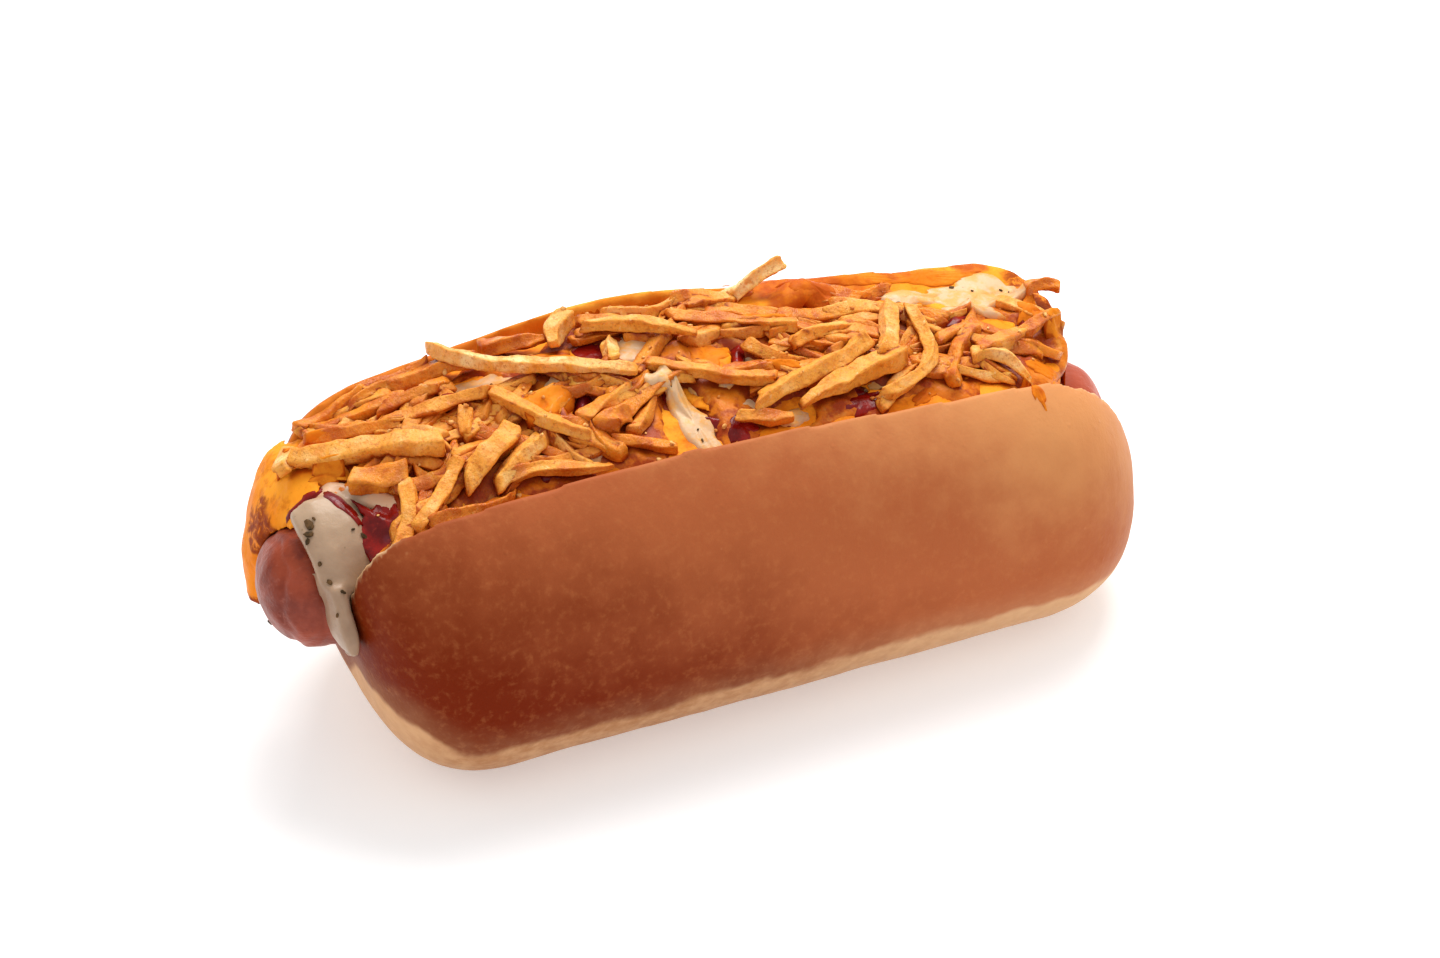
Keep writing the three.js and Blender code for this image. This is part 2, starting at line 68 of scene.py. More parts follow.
def mix(a, b, t):
    return a + (b - a) * t


def ease(v, start, end):
    """Goes smoothly from 0 at the start to 1 at the end."""
    t = np.clip((v - start) / (end - start), 0.0, 1.0)
    return t * t * (3 - 2 * t)


def rounded(from_end, reach, power):
    """How much of its full size a rounded end keeps: 1 in the middle, 0 at the tip."""
    t = np.clip(1 - from_end / reach, 0.0, 1.0)
    return (1 - t**power) ** (1 / power)


def stations(left, right, count):
    """Places along the length, closer together towards both ends."""
    return mix(left, right, (1 - np.cos(np.pi * np.arange(count) / (count - 1))) / 2)


def arch(x):
    return ARCH_RISE * np.exp(-(((x - ARCH_AT) / ARCH_SPREAD) ** 2))


def far_rise(x):
    return FAR_RISE + arch(x) - ARCH_DROP * ease(x, 30, 75)


def piece_of(name, points, faces):
    """A smooth-shaded piece from points in millimetres."""
    mesh = bpy.data.meshes.new(name)
    mesh.from_pydata([tuple(p) for p in np.asarray(points, float) * MM], [], faces)
    mesh.validate()
    mesh.shade_smooth()
    piece = bpy.data.objects.new(name, mesh)
    bpy.context.scene.collection.objects.link(piece)
    return piece


def tube_faces(rings, around, first=0):
    """Faces between rings of points that run the same way round, with one face closing each end."""
    faces = []
    for r in range(rings - 1):
        for i in range(around):
            a, b = first + r * around + i, first + r * around + (i + 1) % around
            faces.append((a, b, b + around, a + around))
    faces.append(tuple(first + i for i in reversed(range(around))))
    faces.append(tuple(first + (rings - 1) * around + i for i in range(around)))
    return faces


def settle(piece):
    """Makes what the piece's modifiers show its own mesh."""
    bpy.context.view_layer.update()
    shown = piece.evaluated_get(bpy.context.evaluated_depsgraph_get())
    made = bpy.data.meshes.new_from_object(shown)
    piece.modifiers.clear()
    piece.data = made
    piece.data.shade_smooth()


def soften(piece, cell, rounds):
    """Covers the piece with an even skin of small cells and rounds off its edges."""
    skin = piece.modifiers.new("skin", "REMESH")
    skin.mode = "VOXEL"
    skin.voxel_size = cell * MM
    smooth = piece.modifiers.new("smooth", "SMOOTH")
    smooth.factor = 0.5
    smooth.iterations = rounds
    settle(piece)


def read_points(piece, what):
    values = np.empty(len(piece.data.vertices) * 3, np.float32)
    piece.data.vertices.foreach_get(what, values)
    return values.reshape(-1, 3)


def points_of(piece):
    return read_points(piece, "co") / MM


def put_points(piece, places):
    piece.data.vertices.foreach_set("co", (places * MM).astype(np.float32).ravel())


def swell(piece, height):
    """Pushes each point out along the surface by height(place), all in millimetres."""
    normals = read_points(piece, "normal")
    places = points_of(piece)
    out = np.array([height(Vector(p)) for p in places])
    put_points(piece, places + normals * out[:, None])
    piece.data.update()


def paint(piece, name, values):
    """Stores one number for each point, which a finish reads by its name."""
    layer = piece.data.attributes.new(name, "FLOAT", "POINT")
    layer.data.foreach_set("value", np.asarray(values, np.float32))


def waves(place, size, seed=0.0):
    """Smooth unevenness of about that size, from -1 to 1."""
    return noise.noise(place / size + Vector((seed, 2 * seed, -seed)))


def serve(piece, slot, *stands_for):
    """Fixes the piece to the one body and hides the solids that it stands for. The slot is not used."""
    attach(piece, "root")
    if stands_for:
        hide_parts(*stands_for)


class Finish:
    """A finish built from nodes on a new material."""

    def __init__(
        self, name, roughness, specular=0.5, coat=0.0, coat_roughness=0.1, subsurface=0.0, reach=1.0
    ):
        self.material = bpy.data.materials.new(name)
        self.material.use_nodes = True
        self.tree = self.material.node_tree
        self.shader = self.tree.nodes["Principled BSDF"]
        self.shader.inputs["Roughness"].default_value = roughness
        self.shader.inputs["Specular IOR Level"].default_value = specular
        self.shader.inputs["Coat Weight"].default_value = coat
        self.shader.inputs["Coat Roughness"].default_value = coat_roughness
        self.shader.inputs["Subsurface Weight"].default_value = subsurface
        self.shader.inputs["Subsurface Radius"].default_value = (1.0, 0.45, 0.2)
        self.shader.inputs["Subsurface Scale"].default_value = reach * MM
        self.place = self.node("ShaderNodeTexCoord").outputs["Object"]
        self.normal = None

    def node(self, kind, **settings):
        made = self.tree.nodes.new(kind)
        for name, value in settings.items():
            setattr(made, name, value)
        return made

    def feed(self, socket, value):
        if isinstance(value, bpy.types.NodeSocket):
            self.tree.links.new(value, socket)
        elif isinstance(value, tuple) and len(value) == 3 and socket.type == "RGBA":
            socket.default_value = (*value, 1.0)
        else:
            socket.default_value = value

    def grain(self, size, detail=3.0, rough=0.5, distort=0.0, stretch=None):
        """Cloudy noise whose blotches are about that many millimetres."""
        made = self.node("ShaderNodeTexNoise")
        place = self.place
        if stretch:
            scaled = self.node("ShaderNodeMapping")
            self.feed(scaled.inputs["Vector"], place)
            scaled.inputs["Scale"].default_value = stretch
            place = scaled.outputs["Vector"]
        self.feed(made.inputs["Vector"], place)
        made.inputs["Scale"].default_value = 1 / (size * MM)
        made.inputs["Detail"].default_value = detail
        made.inputs["Roughness"].default_value = rough
        made.inputs["Distortion"].default_value = distort
        return made.outputs["Fac"]

    def dots(self, spacing, size, share):
        """Round spots of that size in a share of the cells of that spacing, 1 at their middle."""
        cells = self.node("ShaderNodeTexVoronoi")
        self.feed(cells.inputs["Vector"], self.place)
        cells.inputs["Scale"].default_value = 1 / (spacing * MM)
        spot = self.span(cells.outputs["Distance"], 0.5 * size / spacing, 0.0)
        chosen = self.node("ShaderNodeSeparateColor")
        self.feed(chosen.inputs["Color"], cells.outputs["Color"])
        return self.times(spot, self.span(chosen.outputs["Red"], share, share - 0.02))

    def span(self, value, start, end, low=0.0, high=1.0):
        """Goes smoothly from low to high while the value goes from the start to the end."""
        made = self.node("ShaderNodeMapRange", interpolation_type="SMOOTHSTEP")
        self.feed(made.inputs["Value"], value)
        made.inputs["From Min"].default_value = start
        made.inputs["From Max"].default_value = end
        made.inputs["To Min"].default_value = low
        made.inputs["To Max"].default_value = high
        return made.outputs["Result"]

    def maths(self, kind, a, b):
        made = self.node("ShaderNodeMath", operation=kind)
        self.feed(made.inputs[0], a)
        self.feed(made.inputs[1], b)
        return made.outputs[0]

    def times(self, a, b):
        return self.maths("MULTIPLY", a, b)

    def plus(self, a, b):
        return self.maths("ADD", a, b)

    def painted(self, name):
        """The numbers that paint stored on the piece by that name."""
        return self.node("ShaderNodeAttribute", attribute_name=name).outputs["Fac"]

    def axis(self, letter):
        """The place along one axis, in millimetres."""
        parts = self.node("ShaderNodeSeparateXYZ")
        self.feed(parts.inputs["Vector"], self.place)
        return self.times(parts.outputs[letter], 1 / MM)

    def tint(self, amount, under, over):
        """That amount of one colour laid over another."""
        made = self.node("ShaderNodeMix", data_type="RGBA", blend_type="MIX")
        # Of the sockets with one name, 6 and 7 take the two colours, and 2 gives the mixed one.
        self.feed(made.inputs["Factor"], amount)
        self.feed(made.inputs[6], under)
        self.feed(made.inputs[7], over)
        return made.outputs[2]

    def relief(self, height, depth):
        """Adds fine relief: height from 0 to 1 stands for depth in millimetres."""
        made = self.node("ShaderNodeBump")
        made.inputs["Strength"].default_value = 1.0
        made.inputs["Distance"].default_value = depth * MM
        self.feed(made.inputs["Height"], height)
        if self.normal:
            self.feed(made.inputs["Normal"], self.normal)
        self.normal = made.outputs["Normal"]
        self.feed(self.shader.inputs["Normal"], self.normal)

    def colour(self, value):
        self.feed(self.shader.inputs["Base Color"], value)

    def on(self, piece):
        piece.data.materials.clear()
        piece.data.materials.append(self.material)


def bun_blank():
    """The whole bun before it is slit."""
    around = 220
    turn = 2 * np.pi * np.arange(around) / around
    c, s = np.cos(turn), np.sin(turn)
    points = []
    rows = [x for x in stations(BUN_LEFT, BUN_RIGHT, 260) if BUN_LEFT + 0.7 < x < BUN_RIGHT - 0.7]
    for x in rows:
        to_end = min(x - BUN_LEFT, BUN_RIGHT - x)
        blunt = rounded(to_end, END_ROUND, 3)
        domed = rounded(min(x - BUN_LEFT + 8, BUN_RIGHT - x), END_ROUND + 5, 2)
        keep = mix(domed, blunt, np.ones(around) if x < 0 else ease(c, -0.5, 0.8))
        wide = np.where(c > 0, BUN_FAR, BUN_NEAR)
        high = np.where(s > 0, mix(NEAR_RISE, far_rise(x), (c + 1) / 2), BOTTOM)
        y = wide * keep * np.sign(c) * np.abs(c) ** BUN_FULLNESS
        rise = high * keep * np.sign(s) * np.abs(s) ** BUN_FULLNESS
        left_lean = (LEAN_LEFT + LEAN_FAR * ease(y, -5, 15)) * np.where(s > 0, 1, LEAN_BELOW)
        lean = left_lean * ease(-x, 35, 77) + LEAN_RIGHT * ease(x, 45, 85)
        points.append(np.stack([x - lean * rise, y, np.maximum(BUN_MIDDLE + rise, 0)], 1))
    return piece_of("bun_bread", np.concatenate(points), tube_faces(len(rows), around))


def slit_bar():
    """A bar with the section of the opened slit, which is taken out of the bun."""
    steps = 24
    arc = [math.pi * (1 + i / steps) for i in range(steps + 1)]
    outline = [(NEAR_LIP, OVERHEAD), (NEAR_LIP, NEAR_TOP)]
    outline += [(SLIT_RADIUS * math.cos(a), SAUSAGE_HEIGHT + SLIT_RADIUS * math.sin(a)) for a in arc]
    outline += [(FAR_LIP, FAR_TOP), (FAR_LIP, OVERHEAD)]
    ends = [[(x, y, z + SAUSAGE_SLOPE * x) for y, z in outline] for x in (-PAST_ENDS, PAST_ENDS)]
    return piece_of("slit", ends[0] + ends[1], tube_faces(2, len(outline)))


def risen(place):
    """Soft unevenness of the baked dough, with none on the flat underside."""
    if place.z <= 0.6:
        return 0
    return 0.35 * waves(place, 24, 1.7) + 0.14 * waves(place, 7, 4.2) + 0.05 * waves(place, 2.6, 9.1)


bun = bun_blank()
bar = slit_bar()
cut = bun.modifiers.new("cut", "BOOLEAN")
cut.operation = "DIFFERENCE"
cut.object = bar
cut.solver = "EXACT"
settle(bun)
bpy.data.objects.remove(bar)
soften(bun, 0.85, 5)
swell(bun, risen)
standing = points_of(bun)
standing[:, 2] = np.maximum(standing[:, 2], 0)
put_points(bun, standing)

x, y, z = standing.T
level = z - SAUSAGE_SLOPE * x
near_wall = mix(-SLIT_RADIUS, NEAR_LIP, np.clip((level - SAUSAGE_HEIGHT) / (NEAR_TOP - SAUSAGE_HEIGHT), 0, 1))
far_wall = mix(SLIT_RADIUS, FAR_LIP, np.clip((level - SAUSAGE_HEIGHT) / (FAR_TOP - SAUSAGE_HEIGHT), 0, 1))
above = np.minimum(y - near_wall, far_wall - y)
inside = np.where(level > SAUSAGE_HEIGHT, above, SLIT_RADIUS - np.hypot(y, level - SAUSAGE_HEIGHT))
paint(bun, "crumb", ease(inside, -1.0, -0.2) * ease(NEAR_TOP - level, 0.5, 3.0) * (y < 0))
paint(bun, "oiled", ease(inside, -2.5, -0.8) * (y > 0) * ease(level, 40, 50))

crust = Finish("bun_crust", 0.47, specular=0.045, subsurface=0.03, reach=1.2)
cloud = crust.span(crust.grain(30, 3, 0.5), 0.25, 0.75, -11, 11)
mottle = crust.span(crust.grain(6, 4, 0.6), 0.25, 0.75, -7, 7)
# The crust is painted lighter upwards and towards the right end, as painted light from above and the right,
# and darkest low on the left, as painted shade; the cloud and mottle on it are its own browning.
painted_light_up_and_right = crust.plus(crust.times(crust.axis("Z"), 2.3), crust.axis("X"))
tone = crust.plus(crust.plus(painted_light_up_and_right, cloud), mottle)
brown = crust.tint(crust.span(tone, 0, 98), CRUST_DARK_SHADED, CRUST_BROWN)
brown = crust.tint(crust.span(tone, 100, 180), brown, CRUST_GOLDEN_LIT)
brown = crust.tint(crust.span(crust.grain(1.5, 4, 0.6), 0.48, 0.80, 0, 0.20), brown, CRUST_FLECK)
brown = crust.tint(crust.times(crust.dots(4.6, 0.9, 0.24), 0.20), brown, PALE_SPOT)
brown = crust.tint(crust.times(crust.dots(7.7, 0.8, 0.30), 0.26), brown, DARK_SPOT)
height = crust.plus(crust.axis("Z"), crust.span(crust.grain(9, 3), 0.2, 0.8, -1.2, 1.2))
at_left = crust.span(crust.axis("X"), -60, -73)
corner = crust.times(crust.times(at_left, crust.span(crust.axis("Y"), 6, -10)), 7)
rim = crust.maths("SUBTRACT", height, corner)
wheat = crust.tint(crust.span(crust.grain(3, 4, 0.6), 0.3, 0.7), WHEAT_DEEP, WHEAT_PALE)
# The pale band is painted lighter towards the right end, as painted light from the right.
wheat = crust.tint(crust.span(crust.axis("X"), -30, 60, 0, 0.65), wheat, WHEAT_LIT_RIGHT)
wheat = crust.tint(crust.times(at_left, 0.6), wheat, WHEAT_LEFT)
brown = crust.tint(crust.span(rim, 21, 12, 0, 0.22), brown, wheat)
brown = crust.tint(crust.span(rim, 13.8, 11.6, 0, 0.9), brown, wheat)
oil = crust.tint(crust.span(crust.grain(5, 4), 0.35, 0.65), OIL_DEEP, OIL_BRIGHT)
oil = crust.tint(crust.span(crust.axis("X"), -10, -45, 0, 0.85), oil, OIL_LEFT)
brown = crust.tint(crust.painted("oiled"), brown, oil)
crumb = crust.tint(crust.span(crust.grain(1.6, 4, 0.7), 0.3, 0.7), CRUMB_DEEP, CRUMB_PALE)
crust.colour(crust.tint(crust.painted("crumb"), brown, crumb))
crust.relief(crust.grain(0.7, 3, 0.6), 0.07)
crust.relief(crust.dots(3.1, 1.3, 0.40), 0.08)
crust.relief(crust.grain(2.4, 3, 0.5, stretch=(1.0, 0.6, 0.6)), 0.14)
crust.on(bun)
serve(bun, "bun", "bun")

# ----------------------------------------------------------------------
# The sausage. A smoked frankfurter of finely ground meat in a tight skin, warmed on a hot plate. It lies in
# the slit on the crumb and stands out at both ends, with its skin drawn together a little at the tips.
# ----------------------------------------------------------------------
SAUSAGE_LEFT, SAUSAGE_RIGHT = -89.0, 82.7
CREASES = [(4.2, 1.6, 0.26), (6.9, 2.2, 0.20), (10.8, 2.6, 0.14)]  # from the left tip, swing round it, depth
CREASE_WIDTH = 0.8
MEAT_DARK, MEAT_RED, MEAT_FAT = (0.160, 0.020, 0.008), (0.33, 0.060, 0.028), (0.50, 0.17, 0.12)
MEAT_CHARRED, MEAT_GRILLED, MEAT_ROSY = (0.09, 0.013, 0.008), (0.36, 0.060, 0.018), (0.49, 0.094, 0.046)

around, rows = 120, stations(SAUSAGE_LEFT, SAUSAGE_RIGHT, 260)[1:-1]
turn = 2 * np.pi * np.arange(around) / around
points = []
for x in rows:
    keep = rounded(min(x - SAUSAGE_LEFT, SAUSAGE_RIGHT - x), SAUSAGE_RADIUS, 2.15)
    r = SAUSAGE_RADIUS * keep
    pucker = 0.35 * np.cos(7 * turn + 0.6) * (1 - keep) * keep * 2
    y = (r + pucker) * np.cos(turn)
    z = SAUSAGE_HEIGHT + SAUSAGE_SLOPE * x + (r + pucker) * np.sin(turn)
    points.append(np.stack([np.full(around, x), y, z], 1))
sausage = piece_of("frankfurter", np.concatenate(points), tube_faces(len(rows), around))


def drawn_skin(place):
    """Soft dents all over, and the curved creases of the drawn skin near the left tip."""
    out = 0.30 * waves(place, 12, 3.1) + 0.16 * waves(place, 3.6, 6.4)
    angle = math.atan2(place.z - SAUSAGE_HEIGHT, -place.y)
    for distance, swing, depth in CREASES:
        off = place.x - SAUSAGE_LEFT - distance - swing * math.sin(1.4 * angle + distance)
        off += 1.5 * waves(place, 4, distance)
        fold = 0.5 * depth * math.exp(-(((off - 1.4) / CREASE_WIDTH) ** 2))
        out -= depth * math.exp(-((off / CREASE_WIDTH) ** 2)) - fold
    return out


swell(sausage, drawn_skin)

skin = Finish("sausage_skin", 0.36, specular=0.18, coat=0.05, coat_roughness=0.2, subsurface=0.05, reach=1.2)
meat = skin.tint(skin.span(skin.grain(9, 4, 0.6), 0.3, 0.7), MEAT_DARK, MEAT_RED)
meat = skin.tint(skin.span(skin.grain(1.4, 3, 0.6, stretch=(0.3, 1, 1)), 0.55, 0.8, 0, 0.40), meat, MEAT_FAT)
meat = skin.tint(skin.span(skin.grain(4, 5, 0.65), 0.60, 0.72, 0, 0.75), meat, MEAT_CHARRED)
grilled = skin.times(skin.span(skin.axis("Z"), 36, 46), skin.span(skin.grain(3, 4, 0.6), 0.35, 0.6))
meat = skin.tint(skin.times(grilled, 0.55), meat, MEAT_GRILLED)
skin.colour(skin.tint(skin.span(skin.axis("X"), 60, 80, 0, 0.8), meat, MEAT_ROSY))
skin.relief(skin.grain(1.1, 4, 0.6, stretch=(0.35, 1, 1)), 0.16)
skin.relief(skin.grain(4.5, 3, 0.5), 0.30)
skin.on(sausage)
serve(sausage, "sausage", "sausage")

# ----------------------------------------------------------------------
# The cheese. Slices of orange cheddar melted over the sausage under a grill. It fills the slit, coats the
# far lip right of the middle and hangs down in a curtain at the left end. It is scorched where it blistered.
# ----------------------------------------------------------------------
SCORCHES = [  # x, y, z, radius of the dark blisters
    (-85.0, 9.5, 42.0, 4.8), (-83, 2, 50, 2.0), (-85.5, 12, 26, 2.6), (77, 6, 47, 6.0), (77, -3, 45, 6.0),
    (76, 13, 45, 5.0), (73, 12, 52, 2.2),
]
TOASTED = [  # the same for the lightly browned places
    (22, 18, 58, 8), (31, 18, 58, 8), (66, 24, 55, 4), (48, 25, 59, 4), (56, -19.5, 50, 3),
]
CHEDDAR_DEEP, CHEDDAR_BRIGHT = (0.92, 0.275, 0.012), (0.98, 0.365, 0.024)
CHEDDAR_DARK, CHEDDAR_LEFT = (0.58, 0.115, 0.006), (0.78, 0.190, 0.006)
CHEDDAR_TOASTED, CHEDDAR_SOAK_SHADE = (0.50, 0.098, 0.009), (0.46, 0.070, 0.004)
SCORCH_BROWN, SCORCH_BLACK = (0.29, 0.040, 0.002), (0.14, 0.014, 0.002)


def poured(node, name, cell, rounds):
    """A soft piece over the whole of a CAD node's form."""
    piece = bpy.data.objects.new(name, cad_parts[node].data.copy())
    bpy.context.scene.collection.objects.link(piece)
    soften(piece, cell, rounds)
    return piece


def nearness(places, spots, ragged=0.6):
    """1 inside the given spots (x, y, z, radius), falling to 0 outside their ragged edges."""
    near = np.zeros(len(places))
    for x, y, z, radius in spots:
        rag = np.array([1 + ragged * waves(Vector(p), radius * 0.6, radius) for p in places])
        near = np.maximum(near, ease(np.linalg.norm(places - [x, y, z], axis=1) * rag / radius, 1.25, 0.75))
    return near


cheese = poured("cheese", "cheddar_melt", 0.7, 7)


def blistered(place):
    """Unevenness of the melted cheese, calm where it lies against the sauces at the left end."""
    free = max(float(ease(place.x, -68, -60)), float(ease(place.y, 3, 8)))
    lumps = 0.45 * waves(place, 9, 2.2) + 0.25 * waves(place, 3.2, 5.5)
    return mix(0.25, 1, free) * lumps - 0.2 * (1 - free)


swell(cheese, blistered)


def toast(piece):
    """Browns the cheese where it blistered and down the wall at its right end."""
    places = points_of(piece)
    wall = 0.9 * ease(places[:, 0], 68.5, 73.0) * ease(places[:, 2], 56.5, 52.5)
    paint(piece, "scorched", np.maximum(nearness(places, SCORCHES), wall))
    paint(piece, "toasted", nearness(places, TOASTED))


toast(cheese)

melt = Finish("melted_cheese", 0.42, specular=0.04, subsurface=0.06, reach=1.2)
orange = melt.tint(melt.span(melt.grain(9, 3, 0.5), 0.35, 0.65), CHEDDAR_DEEP, CHEDDAR_BRIGHT)
orange = melt.tint(melt.span(melt.grain(3.4, 5, 0.65), 0.50, 0.68, 0, 0.60), orange, CHEDDAR_DARK)
orange = melt.tint(melt.span(melt.axis("X"), -81, -86, 0, 0.6), orange, CHEDDAR_LEFT)
toasted = melt.times(melt.painted("toasted"), melt.span(melt.grain(2.6, 4, 0.6), 0.30, 0.60, 0.60, 1.0))
orange = melt.tint(toasted, orange, CHEDDAR_TOASTED)
# Darker where the sticks close over the cheese, partly as soaked cheese and partly as painted shade.
orange = melt.tint(melt.span(melt.painted("soak_and_shade"), 0.28, 0.85, 0, 0.92), orange, CHEDDAR_SOAK_SHADE)
edges = melt.span(melt.grain(2.2, 5, 0.65, distort=0.5), 0.34, 0.60, 0.25, 1.0)
scorch = melt.times(melt.painted("scorched"), edges)
orange = melt.tint(melt.span(scorch, 0.10, 0.75, 0, 0.94), orange, SCORCH_BROWN)
orange = melt.tint(melt.span(scorch, 0.85, 1.0, 0, 0.5), orange, SCORCH_BLACK)
melt.colour(orange)
melt.relief(melt.grain(1.6, 4, 0.6), 0.25)
melt.on(cheese)
serve(cheese, "cheese", "cheese")

# ----------------------------------------------------------------------
# The ketchup. Squeezed in a wave along the sausage before the sticks went on, thicker at the left end, where
# it has spread into a sheet. Tomato sauce cooked dark by the grill, wet and shiny.
# ----------------------------------------------------------------------
TOMATO_DARK, TOMATO_RED = (0.11, 0.0015, 0.0015), (0.27, 0.007, 0.003)
TOMATO_BRIGHT, TOMATO_CREAMED = (0.42, 0.04, 0.014), (0.16, 0.030, 0.045)

ketchup = poured("ketchup", "tomato_wave", 0.55, 4)
swell(ketchup, lambda p: 0.30 * waves(p, 5, 8.2) + 0.12 * waves(p, 2, 1.5))

tomato = Finish("ketchup_gloss", 0.24, specular=0.18, coat=0.08, coat_roughness=0.08)
red = tomato.tint(tomato.span(tomato.grain(4, 4, 0.6), 0.35, 0.65), TOMATO_DARK, TOMATO_RED)
red = tomato.tint(tomato.span(tomato.grain(1.2, 3), 0.6, 0.75, 0, 0.35), red, TOMATO_BRIGHT)
tomato.colour(tomato.tint(tomato.span(tomato.grain(7, 2), 0.60, 0.72, 0, 0.6), red, TOMATO_CREAMED))
tomato.relief(tomato.grain(1.3, 3, 0.6), 0.15)
tomato.on(ketchup)
serve(ketchup, "ketchup", "ketchup")

# ----------------------------------------------------------------------
# The pale sauce. A thick creamy sauce with pepper and herbs, squeezed in a second wave and wrapped over the
# left end of the sausage, where it hangs down in a tongue. Flakes of dried herb and pepper stick out of it,
# and two burnt bits stick to the tip of the sausage and to the tail of the cheese beside it.
# ----------------------------------------------------------------------
BAND_FLAKES = [  # x, degrees round the sausage from the near side up, length
    (-80.2, 71, 2.4), (-80.9, 66, 2.0), (-81.3, 62, 1.3), (-79.1, 74, 0.9), (-71.6, 56, 1.6),
    (-80.5, 45, 1.1), (-79.6, 32, 1.4), (-78.1, 25, 1.2), (-76.4, 17, 1.0), (-74.0, 27, 2.4),
    (-73.3, 61, 0.8), (-79.7, 12, 0.9),
]
BURNT_BITS = [  # place, outward direction, length
    ((-77.5, 0.0, 35.3), (-0.84, 0.02, -0.54), 1.3), ((-84.0, 12.5, 27.0), (-0.80, -0.35, -0.55), 1.5),
]
CREAM_SHADED, CREAM_LIGHT, CREAM_LIT_TOP = (0.31, 0.190, 0.120), (0.41, 0.270, 0.175), (0.52, 0.370, 0.245)
HEAP_CREAM, HEAP_CREAM_OILY, HEAP_CREAM_LEFT = (0.72, 0.47, 0.26), (0.80, 0.37, 0.07), (0.72, 0.46, 0.30)
CREAM_SPECK = (0.16, 0.10, 0.045)

sauce = poured("white_sauce", "cream_wave", 0.5, 11)
swell(sauce, lambda p: 0.28 * waves(p, 6, 12.2) + 0.10 * waves(p, 2.2, 3.5))

cream = Finish("cream_sauce", 0.34, specular=0.2, coat=0.08, coat_roughness=0.15, subsurface=0.08, reach=1.2)
# The band over the left end of the sausage is painted darker than the same sauce on the heap, as painted
# shade, and lighter along its top, as painted light; on the heap the sauce is also warmed by cheese oil.
pale = cream.tint(cream.span(cream.grain(6, 3), 0.3, 0.7), CREAM_SHADED, CREAM_LIGHT)
pale = cream.tint(cream.span(cream.axis("Z"), 46, 53, 0, 0.62), pale, CREAM_LIT_TOP)
right_of_band = cream.span(cream.axis("X"), -71, -68.5)
on_heap = cream.maths("MAXIMUM", right_of_band, cream.span(cream.axis("Y"), 0.2, 1.6))
warm = cream.tint(cream.span(cream.grain(3.0, 4, 0.6), 0.42, 0.60), HEAP_CREAM, HEAP_CREAM_OILY)
warm = cream.tint(cream.span(cream.axis("X"), -58, -64, 0, 0.85), warm, HEAP_CREAM_LEFT)
pale = cream.tint(cream.times(on_heap, 0.85), pale, warm)
cream.colour(cream.tint(cream.times(cream.dots(1.9, 0.55, 0.22), 0.75), pale, CREAM_SPECK))
cream.relief(cream.grain(1.5, 3, 0.6), 0.14)
cream.on(sauce)
serve(sauce, "white_sauce", "white_sauce")


def tree_of(*pieces):
    """What the given pieces look like to a falling drop or a probing ray."""
    places, faces = [], []
    for piece in pieces:
        faces += [tuple(len(places) + v for v in face.vertices) for face in piece.data.polygons]
        places += [tuple(p) for p in points_of(piece)]
    return BVHTree.FromPolygons(places, faces)


class Bits:
    """Small lumps and flakes gathered into one mesh."""

    def __init__(self):
        self.points, self.faces = [], []

    def add(self, place, normal, long, wide, thick, heading, seed):
        """One uneven lump lying on a surface; long, wide and thick are its full sizes."""
        rings, around = 6, 10
        along = Vector((math.cos(heading), math.sin(heading), 0)).cross(normal).normalized()
        across = normal.cross(along)
        first = len(self.points)
        for r in range(rings):
            slope = math.pi * (r + 0.5) / rings
            for i in range(around):
                a = 2 * math.pi * i / around
                ragged = 1 + 0.45 * noise.noise(Vector((math.cos(a) * 1.3, math.sin(a) * 1.3, seed)))
                u, v = math.cos(a) * math.sin(slope) * ragged, math.sin(a) * math.sin(slope) * ragged
                up = math.cos(slope) * thick / 2 + 0.16 * wide * u * u
                self.points.append(place + along * (u * long / 2) + across * (v * wide / 2) + normal * up)
        self.faces += [tuple(reversed(face)) for face in tube_faces(rings, around, first)]


flakes = Bits()
sauce_tree = tree_of(sauce)
for i, (x, degrees, long) in enumerate(BAND_FLAKES):
    axis = Vector((x, 0, SAUSAGE_HEIGHT + SAUSAGE_SLOPE * x))
    outward = Vector((0, -math.cos(math.radians(degrees)), math.sin(math.radians(degrees))))
    place, normal = sauce_tree.ray_cast(axis + outward * 30, -outward)[:2]
    if place:
        flakes.add(place + normal * 0.14, normal, long, long * 0.6, 0.5, 1.1 * i, i + 0.5)
ends_tree = tree_of(sausage, cheese)
for middle, outward, long in BURNT_BITS:
    outward = Vector(outward).normalized()
    place, normal = ends_tree.ray_cast(Vector(middle) + outward * 20, -outward)[:2]
    if place:
        flakes.add(place + normal * 0.15, normal, long, long * 0.7, 0.6, long, long)

